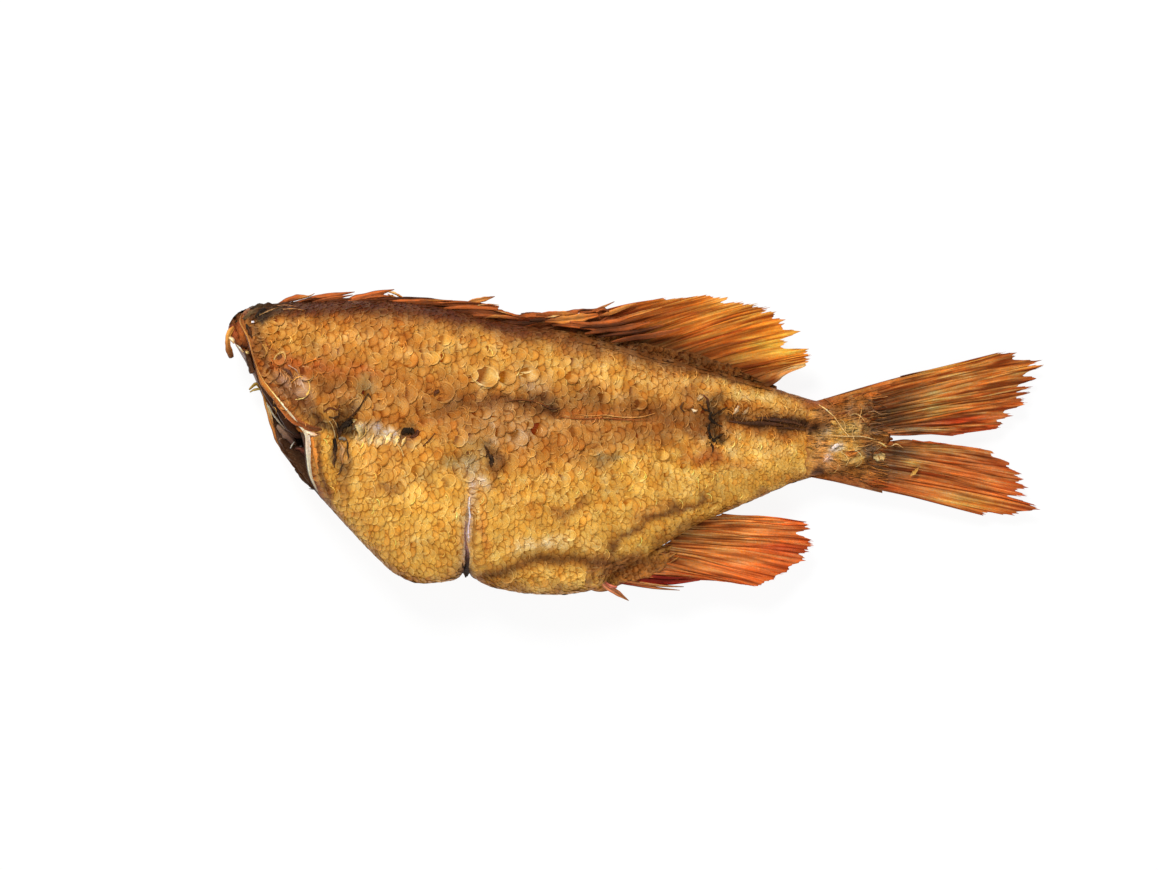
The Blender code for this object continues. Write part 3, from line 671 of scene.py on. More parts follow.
def scale_tree():
    """Sets a plate on every point, along its normal and towards the tail, a little unevenly."""
    tree = bpy.data.node_groups.new("lay_scales", "GeometryNodeTree")
    tree.interface.new_socket("Geometry", in_out="INPUT", socket_type="NodeSocketGeometry")
    for name, kind in (
        ("Round Plate", "NodeSocketObject"), ("Pointed Plate", "NodeSocketObject"),
        ("Curled Plate", "NodeSocketObject"),
        ("Finish", "NodeSocketMaterial"), ("Tilt", "NodeSocketFloat"),
        ("Unevenness", "NodeSocketFloat"), ("Seed", "NodeSocketInt"),
    ):
        tree.interface.new_socket(name, in_out="INPUT", socket_type=kind)
    tree.interface.new_socket("Geometry", in_out="OUTPUT", socket_type="NodeSocketGeometry")
    given = tree.nodes.new("NodeGroupInput").outputs

    def named(name):
        return add_node(tree, "GeometryNodeInputNamedAttribute", {"Name": name}, data_type="FLOAT_VECTOR").outputs[0]

    facing = add_node(tree, "FunctionNodeAxesToRotation",
                      {"Primary Axis": named("out"), "Secondary Axis": named("tailward")},
                      primary_axis="Z", secondary_axis="X").outputs[0]
    spread = add_node(tree, "FunctionNodeRandomValue", {"Seed": given["Seed"]}, data_type="FLOAT_VECTOR")
    spread.inputs[0].default_value = (-1.0, -1.0, -1.0)
    spread.inputs[1].default_value = (1.0, 1.0, 1.0)
    amount = scaled(tree, spread.outputs[0], given["Unevenness"])
    amount = vectors(tree, "MULTIPLY", amount, (1.0, 1.0, 9.0))
    tilt = add_node(tree, "ShaderNodeCombineXYZ", {"Y": given["Tilt"]}).outputs[0]
    turned = vectors(tree, "ADD", amount, tilt)
    wobble = add_node(tree, "FunctionNodeEulerToRotation", {0: turned}).outputs[0]
    rotation = add_node(tree, "FunctionNodeRotateRotation", {"Rotation": facing, "Rotate By": wobble},
                        rotation_space="LOCAL").outputs[0]
    kinds = tree.nodes.new("GeometryNodeJoinGeometry")
    for kind in ("Curled Plate", "Pointed Plate", "Round Plate"):
        plate = add_node(tree, "GeometryNodeObjectInfo", {"Object": given[kind]}).outputs["Geometry"]
        alone = add_node(tree, "GeometryNodeGeometryToInstance", {"Geometry": plate}).outputs[0]
        tree.links.new(alone, kinds.inputs[0])
    which = add_node(tree, "GeometryNodeInputNamedAttribute", {"Name": "kind"}, data_type="INT").outputs[0]
    placed = add_node(tree, "GeometryNodeInstanceOnPoints", {
        "Points": given["Geometry"], "Instance": kinds.outputs[0], "Pick Instance": True, "Instance Index": which,
        "Rotation": rotation, "Scale": named("size"),
    }).outputs[0]
    chance = add_node(tree, "FunctionNodeRandomValue", {"Seed": given["Seed"]}, data_type="FLOAT")
    chance.inputs[2].default_value = 0.0
    chance.inputs[3].default_value = 1.0
    tinted = add_node(tree, "GeometryNodeStoreNamedAttribute", {"Geometry": placed, "Name": "tint"},
                      data_type="FLOAT", domain="INSTANCE")
    tree.links.new(chance.outputs[1], tinted.inputs["Value"])
    whole = add_node(tree, "GeometryNodeRealizeInstances", {"Geometry": tinted.outputs[0]}).outputs[0]
    finished = add_node(tree, "GeometryNodeSetMaterial", {"Geometry": whole, "Material": given["Finish"]}).outputs[0]
    out = tree.nodes.new("NodeGroupOutput")
    tree.links.new(finished, out.inputs[0])
    return tree


def made_by(tree, piece, **values):
    """The plain mesh that a Geometry Nodes tree makes of a piece, with its named inputs set."""
    modifier = piece.modifiers.new(tree.name, "NODES")
    modifier.node_group = tree
    for item in tree.interface.items_tree:
        if item.item_type == "SOCKET" and item.in_out == "INPUT" and item.name in values:
            modifier[item.identifier] = values[item.name]
    evaluated = piece.evaluated_get(bpy.context.evaluated_depsgraph_get())
    mesh = bpy.data.meshes.new_from_object(evaluated)
    piece.modifiers.remove(modifier)
    piece.data = mesh
    mesh.name = piece.name
    return piece


scale_material, tree, shader = new_material("scale_horn", 0.32, 0.16)
stain, tint, crisp = attribute(tree, "stain"), attribute(tree, "tint", "Fac"), attribute(tree, "crisp", "Fac")
across, along, _ = add_node(tree, "ShaderNodeSeparateXYZ", {"Vector": attribute(tree, "plate")}).outputs
# The free edge is where the distance from the middle of the plate's rear half is greatest.
rear = maths(tree, "MULTIPLY", maths(tree, "SUBTRACT", along, 0.35), 1.5)
edge_place = add_node(tree, "ShaderNodeCombineXYZ", {"X": across, "Y": rear}).outputs[0]
radius = add_node(tree, "ShaderNodeVectorMath", {0: edge_place}, operation="LENGTH").outputs["Value"]
luck, hue_pick = (maths(tree, "FRACT", maths(tree, "MULTIPLY", tint, many)) for many in (13.7, 7.3))
# How dark the plate is: painted shade where it comes out from under its neighbours, as their shadow on it, and in the
# groove inside its rim; a tone of its own on the whole; and painted light that makes it lighter towards its free
# edge.
way_out = maths(tree, "MULTIPLY_ADD", maths(tree, "MULTIPLY", across, across), -0.27, along)
dark = ranged(tree, way_out, 0.32, 0.60, 0.66, 0.0)
for shade_here in (ranged(tree, radius, 0.74, 0.86, 0.0, 0.14), ranged(tree, tint, 0.0, 1.0, 0.08, -0.07),
                   ranged(tree, along, 0.4, 1.0, 0.04, -0.07)):
    dark = maths(tree, "ADD", dark, shade_here)
dark = maths(tree, "MULTIPLY", dark, crisp)
shade = vectors(tree, "MULTIPLY_ADD", dark, (-0.80, -1.02, -1.28), (1.0, 1.0, 1.0))
# Each plate leans to its own hue: some are greyer and some redder than the skin round them.
greyer = maths(tree, "MULTIPLY", ranged(tree, hue_pick, 0.70, 1.0), crisp)
shade = vectors(tree, "MULTIPLY_ADD", greyer, (-0.08, -0.02, 0.30), shade)
shade = vectors(tree, "MULTIPLY_ADD", ranged(tree, hue_pick, 0.34, 0.0), (0.03, -0.12, -0.26), shade)
body = vectors(tree, "MULTIPLY", stain, shade)
# A few on the upper flank have gone pale and dull.
pallor = maths(tree, "MULTIPLY", ranged(tree, luck, 0.60, 1.0), ranged(tree, along, 0.40, 0.75))
pallor = maths(tree, "MULTIPLY", pallor, ranged(tree, crisp, 0.60, 1.05, 0.05, 0.42))
cream = vectors(tree, "SUBTRACT", vectors(tree, "MULTIPLY", stain, (1.34, 1.66, 2.5)), body)
body = vectors(tree, "MULTIPLY_ADD", cream, pallor, body)
# The plates' rims: a thin brown line of painted shadow where the skin is fat, and higher up a pale line of painted
# highlight.
pale = vectors(tree, "MULTIPLY_ADD", stain, (1.26, 1.40, 1.75), (0.05, 0.038, 0.014))
brown = vectors(tree, "MULTIPLY", stain, (0.60, 0.44, 0.30))
lean = ranged(tree, maths(tree, "MULTIPLY_ADD", crisp, 0.9, hue_pick), 1.10, 1.45)
rim_colour = vectors(tree, "MULTIPLY_ADD", vectors(tree, "SUBTRACT", pale, brown), lean, brown)
rim_amount = maths(tree, "MULTIPLY", ranged(tree, radius, 0.87, 0.95), ranged(tree, tint, 0.0, 1.0, 0.55, 1.0))
horn = vectors(tree, "MULTIPLY_ADD", vectors(tree, "SUBTRACT", rim_colour, body), rim_amount, body)
colour, height, place = mottled(tree, horn, 0.0024, 0.34)
tree.links.new(colour, shader.inputs["Base Color"])
rings = maths(tree, "SINE", maths(tree, "MULTIPLY", radius, 34.0))
bump(tree, shader, maths(tree, "MULTIPLY_ADD", rings, 0.25, height), 0.00018)

round_plate = plate_mesh("round_scale", dome=0.045)
pointed_plate = plate_mesh("pointed_scale", point=0.12, dome=0.05)
curled_plate = plate_mesh("curled_scale", point=-0.04, cup=0.38, dome=0.03)
lay_scales = scale_tree()

# The lattice: zones from the back to the belly, each with its row pitch across the flank.
SCALE_ZONES = ((0.0, 0.16, 0.40), (0.16, 0.58, 0.54), (0.58, 0.92, 0.47), (0.92, 1.0, 0.42))
PITCH_ALONG = 3.0  # pitch along a row, in row pitches
UNEVEN = 0.6
FLANK_LINES, FLANK_RINGS = 150, 240
GIRTH = 39.0


def flank_grid(first_turn, last_turn):
    turn = np.linspace(first_turn, last_turn, FLANK_LINES)
    along = np.linspace(0, 1, FLANK_RINGS)
    grid = trunk_places(along[:, None] * np.ones(FLANK_LINES), turn * np.ones((FLANK_RINGS, 1)))
    lengthwise = np.gradient(grid, axis=0)
    crosswise = np.gradient(grid, axis=1)
    out = np.cross(lengthwise, crosswise)
    out /= np.linalg.norm(out, axis=-1, keepdims=True) + 1e-9
    return grid, out, lengthwise


def lay_rows(grid, out, lengthwise, seed, bare, clear):
    """The lattice's points on one flank, with each plate's facing and size."""
    draw = np.random.default_rng(seed)
    steps = np.linalg.norm(np.diff(grid, axis=1), axis=-1)
    arc = np.concatenate([np.zeros((FLANK_RINGS, 1)), np.cumsum(steps, axis=1)], axis=1)
    girth = arc[:, -1]
    shrink = (girth / GIRTH) ** 0.42
    middle = grid[:, FLANK_LINES // 2]
    run = np.concatenate([[0], np.cumsum(np.linalg.norm(np.diff(middle, axis=0), axis=1) )])
    found = []
    for first, last, pitch in SCALE_ZONES:
        here = pitch * shrink
        counter = np.concatenate([[0], np.cumsum(np.diff(run) / (PITCH_ALONG * here[1:]))])
        # Rows are counted from the middle of the flank, and end where the zone does.
        from_middle = (arc - 0.5 * girth[:, None]) / here[:, None]
        low = (first - 0.5) * girth / here
        high = (last - 0.5) * girth / here
        for row in range(int(math.floor(low.min())), int(math.ceil(high.max())) + 1):
            start = clear + 0.5 * (row % 2)
            for count in np.arange(start, counter[-1], 1.0):
                count += UNEVEN * draw.uniform(-0.24, 0.24)
                ring = np.interp(count, counter, np.arange(FLANK_RINGS))
                i = min(int(ring), FLANK_RINGS - 2)
                f = ring - i
                level = row + UNEVEN * draw.uniform(-0.34, 0.34)
                if not (low[i] <= level < high[i]):
                    continue
                j = float(np.interp(level, from_middle[i], np.arange(FLANK_LINES)))
                k = min(int(j), FLANK_LINES - 2)
                g = j - k

                def blend(values):
                    return (
                        values[i, k] * (1 - f) * (1 - g) + values[i + 1, k] * f * (1 - g)
                        + values[i, k + 1] * (1 - f) * g + values[i + 1, k + 1] * f * g
                    )

                spot, normal, heading = blend(grid), blend(out), blend(lengthwise)
                if bare(spot[0], spot[1]):
                    continue
                size = here[i] * draw.normal(1.0, 0.10)
                found.append((spot, normal, heading, size))
    spots, normals, headings, sizes = (np.array(column) for column in zip(*found))
    return spots, normals, headings, sizes


# Where the plates have come loose and curled: place, half length, half width, share of them.
CURLED = (
    (-42.0, 9.0, 3.5, 6.0, 0.35), (-45.0, 12.5, 2.0, 3.0, 0.4), (-14.0, 5.0, 7.0, 1.8, 0.35),
    (-9.0, 13.0, 9.0, 0.9, 0.35),
    (-17.5, -2.5, 2.0, 3.5, 0.5), (-35.0, 3.0, 2.5, 2.5, 0.3), (9.8, 2.5, 2.5, 3.0, 0.4), (25.0, 1.0, 3.0, 3.0, 0.5),
    (4.0, 9.0, 9.0, 0.9, 0.3), (-37.0, 15.5, 9.0, 1.2, 0.25), (-2.0, -1.5, 5.0, 3.0, 0.2), (12.0, 0.8, 8.0, 0.8, 0.3),
)


def crispness(x, y):
    """How sharply the plates show: well on the upper flank, and softly in the belly's fat."""
    down = (back_line(x) - y) / (back_line(x) - belly_line(x))
    soft = np.interp(down, (0.40, 0.60, 1.0), (1.0, 0.80, 0.70)) * np.interp(x, (8.0, 16.0, 22.0), (1.0, 0.75, 0.7))
    return np.clip(soft + 0.20 * waves(x, y, 5.0, 63), 0.3, 1.1)


def bare_upper(x, y):
    return (abs(x + 20.1 + 0.08 * (y + 10)) < 0.45 and y < -4.5) or (x > 28.0 and abs(y - 0.9) > 1.5)


def lay_plates(name, spots, normals, headings, dimensions, kinds, seed, flank, fringe, light=1.0):
    """Sets plates on the points and stains them. They stay within the fringe of the trunk's edge."""
    piece = mesh_piece(name, spots, [], {"out": normals, "tailward": headings, "size": dimensions * UNIT})
    piece.data.attributes.new("kind", "INT", "POINT").data.foreach_set("value", kinds.astype(np.int32))
    made_by(lay_scales, piece, **{"Round Plate": round_plate, "Pointed Plate": pointed_plate,
                                  "Curled Plate": curled_plate},
            Finish=scale_material, Tilt=-0.11, Unevenness=0.018, Seed=seed)
    mesh = piece.data
    places = np.empty(len(mesh.vertices) * 3, np.float32)
    mesh.vertices.foreach_get("co", places)
    places = places.reshape(-1, 3) / UNIT
    x = places[:, 0]
    edge = fringe * (1 + 0.7 * waves(x, x * 0, 1.4, 64))
    places[:, 1] = np.clip(places[:, 1], belly_line(x) - edge, back_line(x) + edge)
    places[:, 2] = np.maximum(places[:, 2], 0.0)
    mesh.vertices.foreach_set("co", (places * UNIT).ravel())
    colours = linear(np.clip(light * paint(x, places[:, 1], flank), 0, 1)).astype(np.float32)
    mesh.attributes.new("stain", "FLOAT_VECTOR", "POINT").data.foreach_set("vector", colours.ravel())
    sharp = crispness(x, places[:, 1]).astype(np.float32)
    mesh.attributes.new("crisp", "FLOAT", "POINT").data.foreach_set("value", sharp)
    mesh.update()
    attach(piece, "root")


def lay_flank(name, first_turn, last_turn, seed, bare, flank, clear):
    spots, normals, headings, sizes = lay_rows(*flank_grid(first_turn, last_turn), seed, bare, clear)
    x, y = spots[:, 0], spots[:, 1]
    draw = np.random.default_rng(seed + 50)
    chance = draw.uniform(0, 1, len(spots))
    loose = np.full(len(spots), 0.03)
    for a, b, along, across, share in CURLED:
        loose += share * np.exp(-(((x - a) / along) ** 2) - ((y - b) / across) ** 2)
    pointed = np.clip(0.12 + 0.2 * waves(x, y, 9.0, 61), 0, 1)
    kinds = np.where(chance < loose, 2, np.where(chance < loose + pointed, 1, 0))
    sizes = sizes * np.where(kinds == 2, 0.9, 1.0) * (1 + 0.10











                                                      * waves(x, y, 7.0, 62)) * draw.choice([0.88, 0.95, 0.98, 1.0, 1.02, 1.06, 1.16], len(spots))
    crisp = crispness(x, y)
    down = (back_line(x) - y) / (back_line(x) - belly_line(x))
    edge = 0.3 + 0.7 * smooth_step(np.minimum(down, 1 - down) / 0.10)
    long, wide = draw.uniform(2.6, 3.3, len(spots)), draw.uniform(2.5, 3.3, len(spots))
    height = 0.75 * edge * (0.4 + 0.6 * crisp) * np.where(kinds == 2, 1.5, 1.0)
    dimensions = sizes[:, None] * np.stack([long, wide * (1.5 - 0.5 * crisp), height], axis=-1)
    lay_plates(name, spots, normals * (-1 if flank > 0 else 1), headings, dimensions, kinds, seed, flank, 0.08)


lay_flank("upper_scales", 0.03, math.pi - 0.02, 11, bare_upper, 1, 0.85)
lay_flank("lower_scales", 2 * math.pi - 0.03, math.pi + 0.02, 12, lambda x, y: False, -1, 1.25)

# Large scales that stand out on the flank: place, length, width, turn in degrees and kind.
LARGE_SCALES = (
    (-40.24, 6.95, 2.56, 2.32, -35, 0), (-43.78, 8.66, 1.71, 1.71, -50, 0), (-42.93, 8.05, 1.59, 1.46, -50, 1),
    (-42.93, 10.37, 1.59, 1.46, -60, 2), (-43.17, 15, 1.71, 1.59, -10, 2), (-39.76, 8.66, 1.95, 1.71, -20, 2),
    (-17.93, 8.29, 2.93, 2.68, -20, 0), (-15.49, 8.17, 2.2, 1.83, -10, 0), (-12.8, 8.54, 2.44, 1.95, -20, 0),
    (-10.61, 5.73, 1.71, 1.83, -20, 0), (-14.15, 0.98, 2.68, 1.83, -35, 0), (-18.17, 3.9, 1.71, 1.59, 0, 2),
    (-11.59, 1.83, 2.07, 1.83, -10, 0), (-23.05, 12.68, 1.71, 1.71, 0, 0), (-22.93, 10.49, 1.59, 1.46, 0, 0),
    (-16.46, 1.83, 1.71, 1.83, 10, 0), (-29.27, 4.39, 1.46, 1.46, -10, 0), (-33.41, 2.07, 2.44, 1.59, 60, 2),
    (-35.12, 3.9, 0.98, 1.1, 20, 0), (12.32, 4.15, 1.1, 1.1, 0, 0), (13.78, 4.15, 0.98, 1.1, 0, 0),
    (11.34, 5, 1.1, 1.1, 0, 2), (3.29, -1.22, 1.83, 1.46, -10, 0), (-22.56, -4.27, 1.95, 1.71, 30, 0),
    (-20.12, -3.66, 1.59, 1.59, -20, 2), (-21.34, 0.49, 1.71, 1.46, -10, 0), (-9.15, 0.61, 1.83, 1.71, -10, 0),
    (-7.2, 1.59, 1.71, 1.71, 0, 1), (-26.22, -3.05, 1.59, 1.59, 10, 0), (0.61, 5, 1.59, 1.46, 0, 2),
    (-3.78, 5.73, 1.59, 1.46, -10, 0), (-7.68, 8.17, 1.71, 1.59, -15, 2),
)
x, y, long, wide, turn, kinds = np.array(LARGE_SCALES, float).T
step = 0.05
slope_x = (flank_height(x + step, y, 1.0) - flank_height(x - step, y, 1.0)) / (2 * step)
slope_y = (flank_height(x, y + step, 1.0) - flank_height(x, y - step, 1.0)) / (2 * step)
normals = np.stack([-slope_x, -slope_y, np.ones(len(x))], axis=1)
normals /= np.linalg.norm(normals, axis=1, keepdims=True)
spots = np.stack([x, y, flank_height(x, y, 1.0) + 0.11], axis=1)
headings = np.stack([np.cos(np.radians(turn)), np.sin(np.radians(turn)), np.zeros(len(x))], axis=1)
lay_plates("large_scales", spots, normals, headings, np.stack([long, wide, 0.4 * wide], axis=1), kinds, 17, 1, 0.08,
           1.02)

# ---------------------------------------------------------------------------------------------
# The soft dorsal fin: about fifteen jointed rays that fork towards their tips, with dried web
# between them, split and frayed along its rear edge. The web is a fan of fine folds and the
# rays are swept along it.
# ---------------------------------------------------------------------------------------------
fin_material, tree, shader = new_material("dried_fin", 0.42, 0.10)
stain = attribute(tree, "stain")
fan_place = attribute(tree, "fan")
drawn_out = vectors(tree, "MULTIPLY", fan_place, (6.0, 3.0, 1.0))
fibre = add_node(tree, "ShaderNodeTexNoise", {"Vector": drawn_out, "Scale": 1.0, "Detail": 4.0,
                                              "Roughness": 0.6}).outputs["Fac"]
fibre_light = ranged(tree, fibre, 0.3, 0.7, 0.74, 1.26)
streaked = scaled(tree, stain, fibre_light)
colour, height, place = mottled(tree, streaked, 0.0024, 0.35, 1.4)
tree.links.new(colour, shader.inputs["Base Color"])
bump(tree, shader, fibre, 0.0003)


def through(values, share):
    """A smooth curve through evenly spaced values, at shares from 0 to 1."""
    values = np.array(values, float)
    ends = np.concatenate([2 * values[:1] - values[1:2], values, 2 * values[-1:] - values[-2:-1]])
    place = np.clip(share, 0, 1) * (len(values) - 1)
    i = np.minimum(place.astype(int), len(values) - 2)
    t = (place - i)[..., None]
    a, b, c, d = ends[i], ends[i + 1], ends[i + 2], ends[i + 3]
    return b + t * (c - a) / 2 + t**2 * (a - 2.5 * b + 2 * c - d / 2) + t**3 * (1.5 * (b - c) + (d - a) / 2)


class Fan:
    """A fin as a sheet: across runs over its rays, one unit from ray to ray, and along runs from
    root to tip. Its edge is split between the rays, deeper here and there, and frayed."""

    def __init__(self, rays, seed, bow=0.0, split=0.07, fray=0.02, gaps=(), fold=0.11, on_skin=99.0):
        self.rays, self.count, self.bow, self.fold, self.on_skin = np.array(rays,
            float), len(rays), bow, fold, on_skin
        draw = np.random.default_rng(seed)
        self.splits = draw.uniform(0.35, 1.7, self.count + 1) * split
        for ray, depth in gaps:
            self.splits[ray] = depth
        self.forks = draw.uniform(0.0, 1.0, 4 * self.count + 4) * fray * 2.2
        self.frays = draw.uniform(0.0, 1.0, 16 * self.count + 16) * fray
        self.seed = seed

    def reach(self, across):
        between = np.floor(across).astype(int)
        inside = across - between
        notch = self.splits[np.clip(between, 0, self.count)] * np.clip(1 - np.abs(2 * inside - 1) * 1.15, 0, 1) ** 0.9
        quarter = across * 4
        fork = self.forks[np.clip(quarter.astype(int), 0, len(self.forks) - 1)] * np.abs(np.sin(math.pi * quarter))
        fringe = np.interp(across * 16, np.arange(len(self.frays)), self.frays)
        return 1 - notch - fork - fringe

    def at(self, across, along):
        """Places on the sheet. Along 1 is the reach of the rays."""
        across, along = np.broadcast_arrays(np.asarray(across, float), np.asarray(along, float))
        ends = through(self.rays, across / (self.count - 1))
        run = ends[..., 2:4] - ends[..., 0:2]
        length = np.linalg.norm(run, axis=-1)
        aside = np.stack([-run[..., 1], run[..., 0]], axis=-1) / length[..., None]
        wander = 0.18 * np.sin(across * 2.1 + self.seed) * np.sin(along * 5.0 + across * 0.9)
        plan = ends[..., 0:2] + run * along[..., None] + aside * (
            self.bow * length * np.sin(math.pi * np.clip(along, 0, 1)) * 0.5 + wander
            * np.sin(math.pi * np.clip(along, 0, 1)))[..., None]
        x, y = plan[..., 0], plan[..., 1]
        inside = across - np.floor(across)
        saw = np.where(inside < 0.8, 1 - 2 * inside / 0.8, 1 - 2 * (1 - inside) / 0.2)
        fine = 0.25 * np.cos(2 * math.pi * across * 2 + 1.3 * np.sin(3 * along))
        ridge = self.fold * (saw + fine) * np.clip(0.25 + along * 2.2, 0, 1)
        wave = 0.35 * np.sin(2 * math.pi * (x + 1.7 * y) / 17.0) * np.clip(along, 0, 1)
        height = np.maximum(middle_height(x) + wave + ridge, 0.1)
        if x.max() > self.on_skin:
            # Towards its root the sheet lies on the skin, and ends there in an uneven line.
            over_skin = np.maximum(flank_height(x, y, 1.0) + 0.10 + 0.5 * ridge, height)
            share = smooth_step((x - self.on_skin - 0.7 * waves(x, y, 1.8, self.seed)) / 0.5)
            height = np.where(x < TAIL_END + 0.6, height + (over_skin - height) * share, height)
        return np.stack([x, y, height], axis=-1)


def strokes(across, along, wide, long, seed):
    """Uneven strokes along the rays, about -1 to 1, each this wide in rays and this long."""
    table, phases = np.random.default_rng(seed).uniform(-1, 1, (97, 31)), np.random.default_rng(seed + 1).uniform(0,
        31, 97)
    u = across / wide + 0.3 * np.sin(7 * along + seed)
    between = np.floor(u).astype(int)

    def lane(k):
        place = along / long + phases[k % 97]
        step = np.floor(place).astype(int)
        a, b = table[k % 97, step % 31], table[k % 97, (step + 1) % 31]
        return a + (b - a) * smooth_step(place - step)

    return lane(between) + (lane(between + 1) - lane(between)) * smooth_step(u - between)


def shaded(across, along, stops, seed, spots=(), grain=1.0):
    """Colours over a fan: stops from root to tip, a few patches, and strokes lighter and darker."""
    shares, shades = zip(*stops)
    shift = along + 0.10 * strokes(across, along, 0.7, 0.5, seed + 1)
    colour = np.stack([np.interp(shift, shares, channel) for channel in np.array(shades, float).T], axis=-1)
    for at_across, at_along, wide, deep, shade, strength in spots:
        mask = strength * np.exp(-(((across - at_across) / wide) ** 2) - ((along - at_along) / deep) ** 2)
        colour = colour + (np.array(shade, float) - colour) * mask[..., None]
    light = 0.7 * strokes(across, along, 0.30, 0.26, seed + 3) + 0.9 * strokes(across, along, 0.15, 0.18,
        seed + 5) + 0.14 * strokes(across, along, 1.4, 0.4, seed + 7)
    seam = np.abs((across * 2 + 0.25 * strokes(across, along, 2.0, 0.3, seed + 9)) % 1 - 0.5)
    light = grain * light - 1.1 * np.clip(1 - seam / 0.10, 0,
                                          1) * (0.55 + 0.45 * strokes(across, along, 0.5, 0.35, seed + 11))
    hue = strokes(across, along, 0.12, 0.12, seed + 13) + 0.7 * strokes(across, along, 0.4, 0.25, seed + 15)
    if grain > 1:
        light = light + 1.6 * (grain - 1) * strokes(across, along, 0.12, 0.055, seed + 17)
        hue = hue + 2.2 * (grain - 1) * strokes(across, along, 0.30, 0.06, seed + 19)
    colour = colour * (1 + hue[..., None] * np.array((0.06, -0.08, -0.22)))
    brighter, darker = np.clip(light, 0, 1.2)[..., None], np.clip(-light, 0, 1.2)[..., None]
    colour = colour * (1 + brighter * np.array((0.20, 0.34, 0.50)) - darker * np.array((0.30, 0.44, 0.56)))
    return linear(np.clip(colour / 255, 0, 1))


def web_piece(name, fan, tone, per_ray=12, rows=64, thick=0.06, last=None):
    """The web of a fin: the fan's sheet with a little thickness, closed round its edge."""
    across = np.linspace(0, (fan.count - 1) if last is None else last, int((fan.count - 1) * per_ray) + 1)
    grid_across = np.ones((rows, 1)) * across
    grid_along = np.linspace(0, 1, rows)[:, None] ** 0.85 * fan.reach(across)
    middle = fan.at(grid_across, grid_along)
    half = (thick * (1.15 - 0.75 * np.linspace(0, 1, rows)))[:, None, None] * np.array([0, 0, 1.0])
    over, under = middle + half, np.maximum(middle - half, (-1e9, -1e9, 0.02))
    colours = tone(grid_across, grid_along)
    local = np.stack([grid_across, grid_along, np.zeros_like(grid_along)], axis=-1)
    columns = len(across)
    index = np.arange(rows * columns).reshape(rows, columns)
    quads = np.stack([index[:-1, :-1], index[:-1, 1:], index[1:, 1:], index[1:, :-1]], axis=-1).reshape(-1, 4)
    lift = rows * columns
    border = np.concatenate([index[0, :], index[1:, -1], index[-1, -2::-1], index[-2:0:-1, 0]])
    following = np.roll(border, -1)
    walls = np.stack([border, border + lift, following + lift, following], axis=-1)
    faces = np.concatenate([quads, quads[:, ::-1] + lift, walls])
    points = np.concatenate([over.reshape(-1, 3), under.reshape(-1, 3)])
    a, b, c = (points[quads[:, k]] for k in (0, 1, 2))
    if np.cross(b - a, c - a)[:, 2].sum() < 0:
        faces = faces[:, ::-1]
    twice = lambda values: np.concatenate([values.reshape(-1, 3)] * 2)
    piece = mesh_piece(name, points, faces, {"stain": twice(colours), "fan": twice(local)})
    piece.data.materials.append(fin_material)
    return piece


def ray_tree():
    """Sweeps a round ray along every line of a piece, as thick as its radius attribute."""
    tree = bpy.data.node_groups.new("sweep_rays", "GeometryNodeTree")
    tree.interface.new_socket("Geometry", in_out="INPUT", socket_type="NodeSocketGeometry")
    tree.interface.new_socket("Sides", in_out="INPUT", socket_type="NodeSocketInt")
    tree.interface.new_socket("Finish", in_out="INPUT", socket_type="NodeSocketMaterial")
    tree.interface.new_socket("Geometry", in_out="OUTPUT", socket_type="NodeSocketGeometry")
    given = tree.nodes.new("NodeGroupInput").outputs
    lines = add_node(tree, "GeometryNodeMeshToCurve", {"Mesh": given["Geometry"]}).outputs[0]
    section = add_node(tree, "GeometryNodeCurvePrimitiveCircle",
                       {"Resolution": given["Sides"], "Radius": 1.0}).outputs["Curve"]
    thick = add_node(tree, "GeometryNodeInputNamedAttribute", {"Name": "radius"}, data_type="FLOAT").outputs[0]
    swept = add_node(tree, "GeometryNodeCurveToMesh",
                     {"Curve": lines, "Profile Curve": section, "Scale": thick, "Fill Caps": True}).outputs[0]
    smooth = add_node(tree, "GeometryNodeSetShadeSmooth", {"Geometry": swept}).outputs[0]
    whole = add_node(tree, "GeometryNodeRealizeInstances", {"Geometry": smooth}).outputs[0]
    finished = add_node(tree, "GeometryNodeSetMaterial", {"Geometry": whole, "Material": given["Finish"]}).outputs[0]
    tree.links.new(finished, tree.nodes.new("NodeGroupOutput").inputs[0])
    return tree


sweep_rays = ray_tree()


def swept_lines(name, lines, sides=6, finish=None):
    """A piece of round threads: each line is its points, radii in units, colours and fan places."""
    points, radii, colours, local, edges, first = [], [], [], [], [], 0
    for line_points, line_radii, line_colours, line_local in lines:
        n = len(line_points)
        points.append(line_points)
        radii.append(np.broadcast_to(line_radii, n))
        colours.append(np.broadcast_to(line_colours, (n, 3)))
        local.append(np.broadcast_to(line_local, (n, 3)))
        edges += [(first + k, first + k + 1) for k in range(n - 1)]
        first += n
    piece = mesh_piece(name, np.vstack(points), [], {
        "stain": np.vstack(colours), "fan": np.vstack(local), "radius": np.concatenate(radii) * UNIT})
    mesh = piece.data
    mesh.edges.add(len(edges))
    mesh.edges.foreach_set("vertices", np.array(edges, np.int32).ravel())
    mesh.update()
    made_by(sweep_rays, piece, Sides=sides, Finish=finish or fin_material)
    mesh = piece.data
    places = np.empty(len(mesh.vertices) * 3, np.float32)
    mesh.vertices.foreach_get("co", places)
    places = places.reshape(-1, 3)
    places[:, 2] = np.maximum(places[:, 2], 0.0)
    mesh.vertices.foreach_set("co", places.ravel())
    mesh.update()
    return piece


